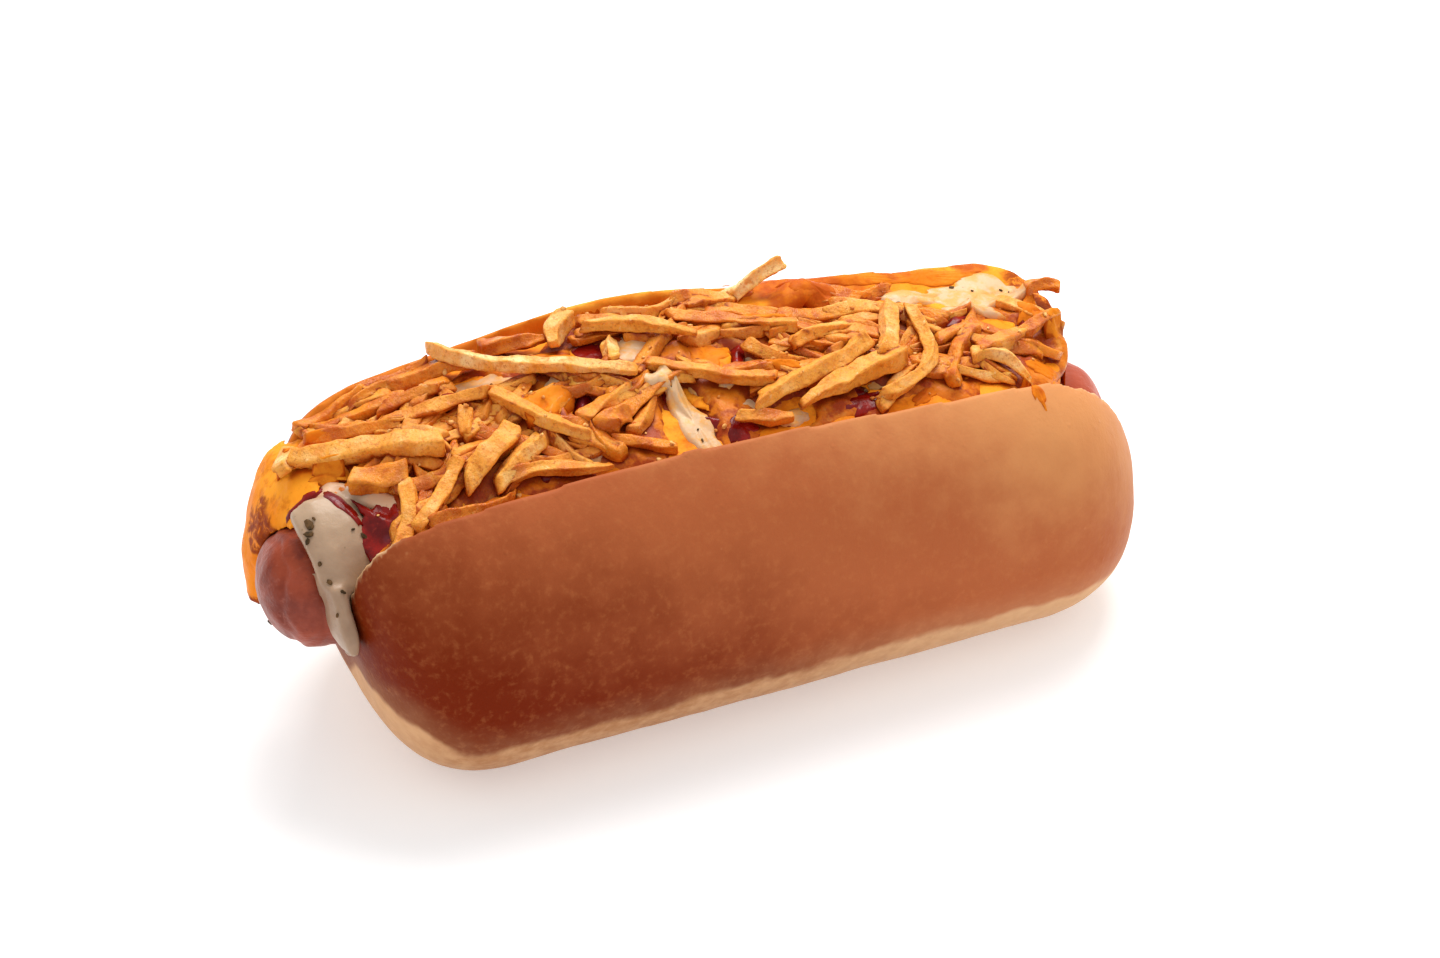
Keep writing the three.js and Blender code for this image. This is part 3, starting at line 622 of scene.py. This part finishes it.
# ----------------------------------------------------------------------
# The potato sticks. Shoestring potatoes cut about 3 mm square and fried crisp, heaped loosely over the
# sauces. The lowest ones are soaked and matted together. The top ones are dry and pale, or glazed with melted
# cheese. The ones that stand out are laid one by one, and the rest fall at random round the openings.
# ----------------------------------------------------------------------
HEAP_LEFT, HEAP_RIGHT, HEAP_NEAR, HEAP_FAR = -77.0, 73.0, -16.0, 22.0
OPENINGS = [  # x, y, half length, half width of the places where the sauces show
    (-78, 6, 9, 6), (-71, -6, 6, 7), (-41, 13, 4, 4), (-26, 0, 4, 3), (-19, 12, 4, 4), (-9, -8, 5, 9),
    (4, 3, 5, 4), (11, -11, 4, 3), (23, 16, 7, 5), (27, -11, 3, 3), (55, 14, 13, 6), (61, 1, 7, 4),
]
STICKS = [  # x, y of both ends, thickness, sideways bow, height over the bed at both ends, browning, glaze
    (-47, 25, -16, -1, 2.8, -4, 5, 5, -0.10, 0.0), (-78, 10, -54, -2, 4.0, 0.5, 3.5, 4.5, 0.25, 0.1),
    (-74, 15, -57, 9, 2.8, 0, 2.5, 3, 0.55, 0.6), (-61, 11, -42, 5, 2.8, 0.5, 3, 4, 0.50, 0.5),
    (-42, 5, -29, -10, 2.7, -1, 4, 3.5, 0.40, 0.3), (-61, 23, -40, 19, 3.6, 0.5, 2.5, 3, 0.25, 0.8),
    (-60, 15, -49, 13, 2.4, 0.5, 3, 3, 0.75, 0.6), (-38, 21, -26, 18, 3.4, 0, 2.5, 2.5, 0.40, 0.9),
    (-21, 20, -26, 14, 3.8, -1.5, 4, 2.5, 0.0, 0.0), (-47, 5, -49, 0, 3.0, 0, 3, 2.5, 0.35, 0.5),
    (-41, -3, -53, -10, 4.6, 0, 3, 3, 0.25, 0.1), (-37, -7, -48, -12, 3.8, 0, 3, 2.5, 0.20, 0.1),
    (-53, -6, -64, -15, 2.8, 0.5, 4, 3.5, 0.25, 0.1), (-62, -5, -70, -18, 3.0, 1.5, 3, 2.5, 0.40, 0.2),
    (-71, -1, -61, -3, 4.4, 0, 2.5, 2.5, 0.40, 0.6), (-62, -15, -46, -15, 4.0, -0.5, 2.5, 2.5, 0.45, 0.6),
    (-47, -12, -27, -15, 2.6, 0.5, 3, 2.5, 0.35, 0.4), (-19, 16, -1, 6, 2.8, 0.5, 4, 4, 0.35, 0.2),
    (-13, 22, 1, 20, 3.0, -2, 2.5, 3, 0.20, 0.4), (0, 20, 13, 20, 3.0, 1.5, 3, 2.5, 0.25, 0.5),
    (-16, 12, -18, 5, 2.7, 0, 2, 2, 0.10, 0.1), (-13, 2, 9, -7, 2.4, -0.5, 3.5, 3.5, 0.45, 0.4),
    (-18, -2, -29, -6, 3.4, 0, 2.5, 2.5, 0.30, 0.4), (-20, -6, -26, -9, 3.8, 0, 2, 2, 0.35, 0.6),
    (29, -3, 3, -11, 3.8, 0.5, 4, 3.5, 0.35, 0.2), (35, -7, 11, -13, 4.2, -0.5, 3.5, 3.5, 0.40, 0.1),
    (16, 1, 33, 5, 2.8, 0.5, 3, 3, 0.40, 0.2), (-1, -12, 9, -14, 2.7, 0, 2, 2, 0.35, 0.4),
    (12, 21, 22, 19, 3.4, 0, 2.5, 10, -0.25, 0.0), (27, 22, 38, 12, 3.0, 0.5, 3.5, 3, 0.80, 0.7),
    (-3, 15, 19, 5, 2.6, 0.5, 3, 3, 0.40, 0.4), (39, 6, 31, -7, 3.4, 0.5, 4.5, 4, 0.05, 0.0),
    (42, 4, 27, -15, 2.8, 6.5, 4, 3.5, 0.30, 0.2), (48, -10, 57, -17, 3.0, 3.5, 3.5, 3, 0.10, 0.1),
    (50, -9, 66, -3, 3.6, 0, 3, 3, 0.40, 0.5), (62, -5, 72, -1, 2.4, 0, 3, 4.5, 0.50, 0.6),
    (71, 10, 76.5, 6, 3.0, 1.5, 2.5, 4.6, 0.25, 0.8), (-77.5, 12, -81, 7.5, 2.8, 0, 3.5, 2.4, -0.10, 0.0),
    (-72, 19, -55, 15, 3.0, 0.5, 2.4, 2.6, 0.45, 0.7), (-74, 19.5, -60, 22.5, 2.6, 0.4, 2.6, 3.2, 0.50, 0.7),
    (-61.5, 23.6, -47, 24.2, 2.6, -0.3, 2.8, 3.0, 0.35, 0.8),
    (-64, 20, -50, 22.6, 2.4, 0.5, 3.2, 3.0, 0.60, 0.5),
]
LOOSE_STICKS, LOOSE_SEED = 150, 41
LOOSE_LENGTH, LOOSE_HEADING = (7, 19), (-65, 50)  # from and to, in millimetres and degrees
LOOSE_THICKNESS, LOOSE_BROWNING, LOOSE_BOW, LOOSE_LIFT = (1.9, 3.3), (0.1, 0.8), (-1.6, 1.6), (0.9, 2.0)
STICK_SQUARENESS = 0.42  # 1 would be round, 0 sharp-edged
STICK_FLATNESS, STICK_UNEVENNESS = 0.92, 0.34  # height to width, and how much both vary along it
EDGE_BROWNING, TIP_BROWNING, TOP_PAINTED_LIGHT = 0.26, 0.34, 0.10
BED_NEAR, BED_FAR, BED_CROWN = 50.5, 51.5, 4.0  # level at both lips, and how much the middle stands higher
PROBES = [  # directions round the normal in which crowding looks
    Vector((math.cos(a), math.sin(a), b))
    for a, b in ((0, 0.3), (2.1, 0.3), (4.2, 0.3), (1, 0.8), (3.1, 0.8), (5.2, 0.8))
]
POTATO_PALE, POTATO_STRAW = (0.97, 0.68, 0.310), (0.93, 0.50, 0.150)
POTATO_GOLD, POTATO_AMBER = (0.88, 0.37, 0.048), (0.86, 0.32, 0.030)
POTATO_BROWN, POTATO_BURNT = (0.64, 0.190, 0.014), (0.26, 0.042, 0.003)
CRISP_FLECK_AND_GLINT, FAT_PIT, FAT_PATCH = (0.99, 0.76, 0.400), (0.50, 0.130, 0.012), (0.74, 0.245, 0.024)
GLAZE_ORANGE, GLAZE_BROWN = (0.82, 0.255, 0.016), (0.52, 0.095, 0.006)
SOAK_SHADE_ORANGE, SOAK_SHADE_BROWN = (0.56, 0.110, 0.007), (0.32, 0.036, 0.003)
MAT_ORANGE, MAT_BROWN = (0.70, 0.190, 0.010), (0.36, 0.048, 0.004)
MAT_STRAND, MAT_SOAK_SHADE = (0.72, 0.29, 0.045), (0.26, 0.028, 0.003)


def bed_top(x, y):
    """The level of the cheese on which the sticks lie."""
    across = (y - NEAR_LIP) / (FAR_LIP - NEAR_LIP)
    near = BED_NEAR - 6 * ease(-x, 25, 80) - 5 * ease(x, 40, 80)
    far = BED_FAR + 0.62 * arch(x) - 2 * ease(-x, 40, 80) - 2 * ease(x, 40, 80)
    lumps = 0.5 * np.sin(0.31 * x + 0.35 * y) + 0.3 * np.sin(0.5 * x - 0.3 * y)
    return mix(near, far, across) + BED_CROWN * np.sin(np.pi * np.clip(across, 0, 1)) + lumps


def openness(x, y):
    """1 inside one of the openings, 0 away from them."""
    far = min(math.hypot((x - a) / long, (y - b) / wide) for a, b, long, wide in OPENINGS)
    return float(ease(far, 1.15, 0.75))


class Heap:
    """Sticks gathered into one mesh, with their browning, their painted light and shade, and glaze."""

    def __init__(self):
        self.points, self.faces, self.brown, self.glaze = [], [], [], []

    def stick(self, row, roll, seed, step=0.5, around=20, sag=0.0):
        """One stick from a row like those of STICKS, bent over the lumps of the bed and turned by roll."""
        x0, y0, x1, y1, thick, bow, lift0, lift1, brown, glaze = row
        run = math.hypot(x1 - x0, y1 - y0)
        ahead = Vector(((x1 - x0) / run, (y1 - y0) / run, 0))
        side = Vector(((y0 - y1) / run, (x1 - x0) / run, 0))
        knots = np.linspace(0, 1, max(3, round(run / 5) + 1))
        level = []
        for t in knots:
            place = Vector((mix(x0, x1, t), mix(y0, y1, t), 0)) + side * bow * math.sin(math.pi * t)
            level.append(bed_top(place.x, place.y) + max(mix(lift0, lift1, t), thick / 2 + 0.9 - sag))
        rise = np.polyfit(knots, level, min(3, len(knots) - 1))
        # Both ends are cut at a slant, one may be drawn thinner, and each face has shrunk hollow in the fat.
        rings = max(8, round(run / step))
        first = len(self.points)
        ends = 0.7 / run
        slant = 1.8 * noise.noise(Vector((seed, 0.3, 0.7))), 1.8 * noise.noise(Vector((seed, 5.3, 2.7)))
        taper = 0.55 * max(0.0, math.sin(seed * 5.1))
        kink = 0.05 * run * noise.noise(Vector((seed, 8.8, 1.1)))
        shrunk = [0.20 + 0.35 * noise.noise(Vector((seed, 1.7 * k, 6.6))) for k in range(4)]
        for r in range(rings + 1):
            t = (1 - math.cos(math.pi * r / rings)) / 2 * 0.3 + r / rings * 0.7
            wobble = 0.35 * noise.noise(Vector((seed, t * run / 7, 0)))
            middle = Vector((mix(x0, x1, t), mix(y0, y1, t), float(np.polyval(rise, t))))
            middle += side * (bow * math.sin(math.pi * t) + kink * math.sin(2 * math.pi * t) + wobble)
            middle.z += 0.25 * noise.noise(Vector((t * run / 6, seed, 4)))
            tip = float(rounded(min(t, 1 - t) + 0.25 * ends, 1.2 * ends, 3.0))
            tip *= 1 - taper * float(ease(t, 0.45, 1.0))
            wider = STICK_UNEVENNESS * noise.noise(Vector((t * run / 3.6, 9, seed)))
            higher = STICK_UNEVENNESS * noise.noise(Vector((t * run / 3.6, 3, seed)))
            wide = thick / 2 * (1 + wider) * tip
            high = thick / 2 * STICK_FLATNESS * (1 + higher) * tip
            twist = roll + 1.1 * (t - 0.5) * math.sin(seed * 3)
            skew = slant[0] * float(ease(t, 3 * ends, 0)) + slant[1] * float(ease(t, 1 - 3 * ends, 1))
            for i in range(around):
                a = 2 * math.pi * (i + 0.5) / around
                c, s = math.cos(a), math.sin(a)
                face = (0 if c > 0 else 1) if abs(c) > abs(s) else (2 if s > 0 else 3)
                corner = (2 * c * s) ** 2
                hollow = 1 - shrunk[face] * (1 - corner) ** 2 * tip
                u = wide * hollow * math.copysign(abs(c) ** STICK_SQUARENESS, c)
                v = high * hollow * math.copysign(abs(s) ** STICK_SQUARENESS, s)
                across = u * math.cos(twist) - v * math.sin(twist)
                up = u * math.sin(twist) + v * math.cos(twist)
                place = middle + side * across + ahead * (skew * across) + Vector((0, 0, up))
                out = (side * across + Vector((0, 0, up))).normalized()
                raised = max(0.0, noise.noise(place / 1.05 + Vector((0, seed, 0))) - 0.15)
                blister = 0.34 * raised + 0.18 * noise.noise(place / 1.9 + Vector((seed, 0, 0)))
                self.points.append(place + out * blister * min(1, thick / 2.6))
                # Edges, tips and blisters brown first, and the upper side is painted palest and the underside
                # browner, as painted light and shade.
                at_tip = float(ease(min(t, 1 - t) * run, 1.4, 0))
                burnt = brown + EDGE_BROWNING * corner * corner + TIP_BROWNING * at_tip
                burnt += TOP_PAINTED_LIGHT * (1 - out.z) - 0.04
                self.brown.append(burnt + 0.42 * noise.noise(place / 2.6) + 1.0 * raised)
                patchy = noise.noise(place / 5.5 + Vector((7, seed, 0)))
                self.glaze.append(glaze + 0.5 * patchy * min(1, 3 * glaze))
        self.faces += tube_faces(rings + 1, around, first)

    def made(self, name):
        """The piece with all the sticks laid so far."""
        piece = piece_of(name, self.points, self.faces)
        paint(piece, "brown", self.brown)
        paint(piece, "glaze", self.glaze)
        return piece


def soaked_core():
    """The lowest sticks, matted with cheese and sauce, dipping under the bed where the heap is open."""
    around = 84
    turn = 2 * np.pi * np.arange(around) / around
    rows = stations(HEAP_LEFT, HEAP_RIGHT, 230)[1:-1]
    points = []
    for x in rows:
        keep = rounded(min(x - HEAP_LEFT, HEAP_RIGHT - x), 14, 2)
        near = HEAP_NEAR + 1.5 * math.sin(0.4 * x)
        far = HEAP_FAR + 1.5 * math.sin(0.33 * x + 1) - 4 * ease(-x, 50, 75)
        for a in turn:
            y = (near + far) / 2 + (far - near) / 2 * keep * math.cos(a)
            open_here = openness(x, y)
            up = max(0, math.sin(a)) ** 0.6
            matted = 0.9 * noise.noise(Vector((x / 3.4, y / 2.2, 1)))
            matted += 0.6 * noise.noise(Vector((x / 1.6, y / 1.4, 5)))
            top = (1.1 + matted * (1 - open_here)) * up - 2.6 * open_here * up - 1.2 * (1 - up)
            points.append((x, y, bed_top(x, y) + top))
    return piece_of("potato_core", points, tube_faces(len(rows), around))


core = soaked_core()
heap = Heap()
for i, row in enumerate(STICKS):
    heap.stick(row, 0.6 * math.sin(2.4 * i), 1.37 * i + 0.5)
draw = random.Random(LOOSE_SEED)
laid = 0
while laid < LOOSE_STICKS:
    x, y = draw.uniform(HEAP_LEFT + 5, HEAP_RIGHT - 2), draw.uniform(HEAP_NEAR + 1, HEAP_FAR - 1)
    long, heading = draw.uniform(*LOOSE_LENGTH), math.radians(draw.uniform(*LOOSE_HEADING))
    dx, dy = long / 2 * math.cos(heading), long / 2 * math.sin(heading)
    thick = draw.uniform(*LOOSE_THICKNESS)
    brown, glaze, bow = draw.uniform(*LOOSE_BROWNING), draw.uniform(0, 1) ** 1.3, draw.uniform(*LOOSE_BOW)
    ends = ((x - dx, y - dy), (x + dx, y + dy))
    inside = all(HEAP_LEFT + 3 < a < HEAP_RIGHT and HEAP_NEAR < b < HEAP_FAR for a, b in ends)
    inside = inside and all(abs(b - 3) < 19 * rounded(HEAP_RIGHT + 1 - a, 14, 2) for a, b in ends)
    if not inside or max(openness(a, b) for a, b in ((x, y), *ends)) > 0.35:
        continue
    lifts = draw.uniform(*LOOSE_LIFT), draw.uniform(*LOOSE_LIFT)
    row = (*ends[0], *ends[1], thick, bow, *lifts, brown, glaze)
    heap.stick(row, draw.uniform(0, 1.5), 100 + laid, step=0.8, around=14, sag=0.6)
    laid += 1
fries = heap.made("potato_sticks")


def crowding(piece, tree, reach=4.0):
    """How closely other food surrounds each point, from 0 to 1. The finishes darken the food there, partly
    for the fat and sauce that gather where it is close and partly as painted shade.
    """
    clear_of_itself, fading = 0.12, 0.6
    crowded = []
    for place, normal in zip(points_of(piece), read_points(piece, "normal")):
        normal = Vector(normal)
        start = Vector(place) + normal * clear_of_itself
        rays = [normal] + [(normal + probe).normalized() for probe in PROBES]
        hits = [tree.ray_cast(start, ray, reach)[3] for ray in rays]
        crowded.append(sum(1 - hit / reach * fading for hit in hits if hit is not None) / len(rays))
    return crowded


heap_tree = tree_of(fries, core, cheese, ketchup, sauce, bun)
bed_tree = tree_of(core, cheese, ketchup, sauce)
# Painted shade together with soaking: each finish darkens its piece where other food closes round it.
paint(fries, "soak_and_shade", crowding(fries, heap_tree))
paint(core, "soak_and_shade", crowding(core, heap_tree))
paint(cheese, "soak_and_shade", crowding(cheese, heap_tree))

fried = Finish("fried_potato", 0.38, specular=0.24, subsurface=0.16, reach=1.4)
brown = fried.painted("brown")
golden = fried.tint(fried.span(brown, -0.30, 0.12), POTATO_PALE, POTATO_STRAW)
golden = fried.tint(fried.span(brown, 0.05, 0.50), golden, POTATO_GOLD)
golden = fried.tint(fried.span(fried.grain(6, 3, 0.5), 0.46, 0.62, 0, 0.55), golden, POTATO_AMBER)
golden = fried.tint(fried.span(brown, 0.50, 1.00), golden, POTATO_BROWN)
golden = fried.tint(fried.span(brown, 0.90, 1.30), golden, POTATO_BURNT)
# Pale specks: crisp spots of the potato that also serve as painted highlights.
golden = fried.tint(fried.span(fried.grain(1.1, 4, 0.7), 0.58, 0.72, 0, 0.60), golden, CRISP_FLECK_AND_GLINT)
golden = fried.tint(fried.span(fried.grain(0.8, 4, 0.7), 0.52, 0.66, 0, 0.60), golden, FAT_PIT)
golden = fried.tint(fried.span(fried.grain(2.2, 4, 0.6), 0.52, 0.64, 0, 0.70), golden, FAT_PATCH)
glazed = fried.tint(fried.span(fried.grain(3.4, 4), 0.38, 0.62), GLAZE_ORANGE, GLAZE_BROWN)
oily = fried.span(fried.painted("glaze"), 0.20, 0.70)
surface = fried.tint(fried.times(oily, 0.85), golden, glazed)
# Orange and brown where other food closes round the sticks, partly soaked fat and partly painted shade.
soak_shade = fried.tint(fried.span(fried.grain(6, 3, 0.5), 0.40, 0.60), SOAK_SHADE_ORANGE, SOAK_SHADE_BROWN)
soak_and_shade = fried.span(fried.painted("soak_and_shade"), 0.20, 0.62)
fried.colour(fried.tint(fried.times(soak_and_shade, 0.92), surface, soak_shade))
fried.feed(fried.shader.inputs["Roughness"], fried.span(fried.plus(oily, soak_and_shade), 0, 1, 0.42, 0.25))
fried.relief(fried.grain(0.5, 3, 0.65), 0.22)
fried.relief(fried.grain(1.4, 4, 0.6), 0.42)
fried.on(fries)
serve(fries, "fries", "fries")

mat = Finish("soaked_potato", 0.36, specular=0.13, coat=0.04, coat_roughness=0.15, subsurface=0.03, reach=1.0)
tone = mat.tint(mat.span(mat.grain(5, 4, 0.6), 0.42, 0.60), MAT_ORANGE, MAT_BROWN)
tone = mat.tint(mat.span(mat.grain(2.2, 4, 0.6), 0.54, 0.72, 0, 0.7), tone, MAT_STRAND)
# Darker where other food closes round the matted sticks, partly soaked and partly painted shade.
mat.colour(mat.tint(mat.span(mat.painted("soak_and_shade"), 0.10, 0.60, 0, 0.92), tone, MAT_SOAK_SHADE))
mat.relief(mat.grain(1.2, 4, 0.6), 0.3)
mat.on(core)
serve(core, "fries")

# ----------------------------------------------------------------------
# The drips and crumbs. Patches of the pale sauce, of cheese and of ketchup were spooned over the heap last,
# drape over the upper sticks and sag between them. Herb flakes and crumbs of potato lie on them.
# ----------------------------------------------------------------------
CREAM_SPILLS = [  # x, y, half length, half width, heading in degrees, and 1 if it lies over the upper sticks
    (-41.5, 13.5, 7.5, 3.4, -15, 0), (-12.6, 9.4, 5.0, 3.6, 20, 0), (-12.3, -1.5, 2.6, 1.9, 0, 1),
    (-8.6, -9.5, 7.4, 3.1, -84, 1), (9.8, -12.4, 4.0, 2.0, 10, 0), (-29.7, -11.2, 3.4, 2.0, 12, 0),
    (49, 15.5, 7.0, 3.0, -4, 1), (63, 14, 11, 5.6, -8, 1), (57, 8, 6.5, 2.2, -20, 1),
    (61, -1, 3.6, 1.6, 15, 0), (-28, 6, 4.5, 2.4, 30, 0), (3, -2, 3.5, 2.2, 20, 0),
]
CHEESE_SPILLS = [
    (-75, 13, 6, 4, -25, 1), (-52, 16, 6, 2.2, -10, 0), (-33, 1, 5.5, 3.6, 30, 1), (-26, 11, 5, 2.6, 10, 0),
    (0.5, 4.5, 4.5, 3.6, 0, 0), (28, 17.5, 6.0, 3.2, -20, 1), (38, 22, 12, 2.0, -2, 1),
    (54, 21, 11, 2.4, -3, 1), (44, 9.5, 6, 2.2, 25, 1), (-57, 0, 5, 3.0, -10, 0), (36, -14, 3.0, 1.3, 15, 0),
    (63, -12, 4.0, 2.0, -20, 1), (12, -4, 3.6, 1.4, -15, 1), (69, 5, 4, 3, 60, 1), (-24, -9, 4, 2.2, -20, 0),
    (15, 10, 4.5, 1.8, -10, 1), (-8, 24, 11, 2.0, -2, 1), (56, -19.5, 1.3, 4.2, 0, 1), (71, -1, 4, 5, 0, 1),
    (-73.5, 4.9, 3.2, 1.3, -15, 1),
]
KETCHUP_SPILLS = [
    (-19.5, 12.5, 4.2, 3.2, 60, 0), (-37.4, -9.5, 3.0, 4.0, 0, 0), (-14, 2.8, 4.0, 2.2, 20, 0),
    (26, -12, 6.0, 2.6, 14, 0), (-0.5, -12.5, 4.0, 2.4, 30, 0), (42, 13.7, 3.2, 1.2, -20, 1),
    (-68, -9, 4.5, 5.0, 20, 0), (-49, 10, 3.6, 1.8, -20, 1), (14, 13, 4.2, 1.8, -12, 0),
    (-6, 13, 3.0, 1.6, 0, 0), (52, 4, 3.4, 1.8, 30, 0), (38, -2, 4, 2, 50, 0),
    (-77.7, 2.3, 4.2, 1.2, -8, 1), (-73.7, -2.3, 4.9, 1.5, -63, 1),
]
CARRIED_UP, SUNK_IN = 7, 0.35  # how high over the bed a stick still carries a film, how far it sinks in
SCATTERED_BITS = 260
HERB_DARK, HERB_DRIED = (0.045, 0.026, 0.009), (0.12, 0.060, 0.020)
CRISP_BROWN, CRISP_GOLD = (0.55, 0.17, 0.025), (0.90, 0.52, 0.17)


def let_down(tree, x, y):
    """The place where something dropped at x, y comes to lie, and the normal there."""
    return tree.ray_cast(Vector((x, y, OVERHEAD)), Vector((0, 0, -1)))[:2]


def drape(name, spills, film, softness, seed):
    """Patches of sauce let down on the heap: closed films that sag between the sticks they lie on."""
    points, faces = [], []
    for k, (x, y, long, wide, heading, over) in enumerate(spills):
        carrier = heap_tree if over else bed_tree
        around = max(28, round(5 * long))
        rings = max(7, round(2.2 * wide))
        c, s = math.cos(math.radians(heading)), math.sin(math.radians(heading))
        flat, lies = [], []
        for r in range(rings):
            for i in range(around):
                a = 2 * math.pi * i / around
                ca, sa = math.cos(a), math.sin(a)
                ragged = 1 + 0.45 * noise.noise(Vector((1.6 * ca, 1.6 * sa, seed + 3.1 * k)))
                ragged += 0.20 * noise.noise(Vector((4 * ca, 4 * sa, seed + 5.7 * k)))
                u, v = long * ragged * ca * (r + 1) / rings, wide * ragged * sa * (r + 1) / rings
                px, py = x + u * c - v * s, y + u * s + v * c
                hit, _ = let_down(carrier, px, py)
                flat.append((px, py))
                bed = bed_top(px, py)
                lies.append(min(hit.z, bed + CARRIED_UP) if hit else bed - 2)
        lies = np.array(lies).reshape(rings, around)
        top = lies.copy()
        for _ in range(softness):
            ring_mean = (np.roll(top, 1, 1) + np.roll(top, -1, 1)) / 2
            inner = np.vstack([top[:1].mean() * np.ones((1, around)), top[:-1]])
            outer = np.vstack([top[1:], top[-1:]])
            top = np.maximum(0.5 * ring_mean + 0.25 * inner + 0.25 * outer, lies - SUNK_IN)
        depth = (1 - (np.arange(rings) + 1.0) / rings) ** 0.45
        top = top + film * depth[:, None] - 0.45 * (depth[:, None] == 0)
        first = len(points)
        for r in range(rings):
            points += [(*flat[r * around + i], min(lies[r, i], top[r, i]) - 1.0) for i in range(around)]
        for r in reversed(range(rings)):
            points += [(*flat[r * around + i], top[r, i]) for i in range(around)]
        faces += tube_faces(2 * rings, around, first)
    return piece_of(name, points, faces)


cheese_spills = drape("cheddar_drips", CHEESE_SPILLS, 0.40, 2, 11.0)
toast(cheese_spills)
# The drips are darker all over as soaked cheese, and darker still where food closes round them, as painted
# shade.
paint(cheese_spills, "soak_and_shade", [0.55 + 0.8 * v for v in crowding(cheese_spills, heap_tree)])
melt.on(cheese_spills)
serve(cheese_spills, "cheese")
ketchup_spills = drape("tomato_drips", KETCHUP_SPILLS, 0.45, 5, 23.0)
tomato.on(ketchup_spills)
serve(ketchup_spills, "ketchup")
cream_spills = drape("cream_drips", CREAM_SPILLS, 0.75, 6, 37.0)
cream.on(cream_spills)
serve(cream_spills, "white_sauce")

# Every second bit that falls on the pale sauce is a flake of herb, and every third beside it a crumb.
cream_tree = tree_of(cream_spills)
top_tree = tree_of(fries, core, cheese_spills, ketchup_spills, cream_spills)
crumbs = Bits()
for k in range(SCATTERED_BITS):
    x, y = draw.uniform(-70, 70), draw.uniform(-17, 22)
    place, normal = let_down(cream_tree, x, y)
    heading, long = draw.uniform(0, 3.1), draw.uniform(0.45, 1.3)
    if place and normal.z > 0.3:
        if k % 2 == 0:
            flakes.add(place + normal * 0.10, normal, long, long * 0.6, 0.35, heading, 40 + k)
    elif k % 3 == 0:
        place, normal = let_down(top_tree, x, y)
        if place and normal.z > 0.2:
            crumbs.add(place + normal * 0.15, normal, long, long * 0.8, long * 0.6, heading, 400 + k)

herb = Finish("dried_herb", 0.65, specular=0.15)
herb.colour(herb.tint(herb.span(herb.grain(1.0, 3), 0.40, 0.62), HERB_DARK, HERB_DRIED))
herb.relief(herb.grain(0.3, 3, 0.6), 0.08)
flake_piece = piece_of("herb_flakes", flakes.points, flakes.faces)
herb.on(flake_piece)
serve(flake_piece, "white_sauce")

bit = Finish("potato_crumb", 0.5, specular=0.15)
bit.colour(bit.tint(bit.span(bit.grain(1.5, 3), 0.40, 0.60), CRISP_BROWN, CRISP_GOLD))
bit.relief(bit.grain(0.4, 3, 0.6), 0.10)
crumb_piece = piece_of("potato_crumbs", crumbs.points, crumbs.faces)
bit.on(crumb_piece)
serve(crumb_piece, "fries")

# ----------------------------------------------------------------------
# The table and the light. A plain white table, a large soft light above the right far corner and a bright
# room, so the shadow is faint and falls towards the near left.
# ----------------------------------------------------------------------
TABLE = 3000  # from the middle to each edge
TABLE_GREY, TABLE_WHITE = (0.77, 0.775, 0.785), (0.79, 0.795, 0.805)
CAMERA_DOWN, CAMERA_TURN = 32, 25  # degrees that it looks down, and that it is turned round the food

corners = [(-TABLE, -TABLE, 0), (TABLE, -TABLE, 0), (TABLE, TABLE, 0), (-TABLE, TABLE, 0)]
table_top = piece_of("table", corners, [(0, 1, 2, 3)])
white = Finish("white_table", 0.6, specular=0.1)
white.colour(white.tint(white.grain(60, 2), TABLE_GREY, TABLE_WHITE))
white.shader.inputs["Emission Color"].default_value = (1.0, 1.0, 1.0, 1.0)
white.shader.inputs["Emission Strength"].default_value = 0.35
white.on(table_top)


def lamp(name, place, size, watts, colour):
    """A square soft light, placed in metres and turned towards the food."""
    data = bpy.data.lights.new(name, "AREA")
    data.size, data.energy, data.color = size, watts, colour
    light = bpy.data.objects.new(name, data)
    light.location = place
    light.rotation_euler = (Vector((0, 0, 0.03)) - Vector(place)).to_track_quat("-Z", "Y").to_euler()
    bpy.context.scene.collection.objects.link(light)


lamp("key", (0.22, 0.30, 0.68), 0.50, 6.3, (1.0, 0.98, 0.95))
room = bpy.data.worlds.new("room")
room.use_nodes = True
room.node_tree.nodes["Background"].inputs["Color"].default_value = (1, 0.995, 0.99, 1)
room.node_tree.nodes["Background"].inputs["Strength"].default_value = 0.80
bpy.context.scene.world = room
bpy.context.scene.view_settings.view_transform = "Standard"

camera_data = bpy.data.cameras.new("camera")
camera_data.lens = 75.0
camera = bpy.data.objects.new("camera", camera_data)
camera.location = (-0.2004, -0.4316, 0.3335)
camera.rotation_euler = (math.radians(90 - CAMERA_DOWN), 0, math.radians(-CAMERA_TURN))
bpy.context.scene.collection.objects.link(camera)
bpy.context.scene.camera = camera
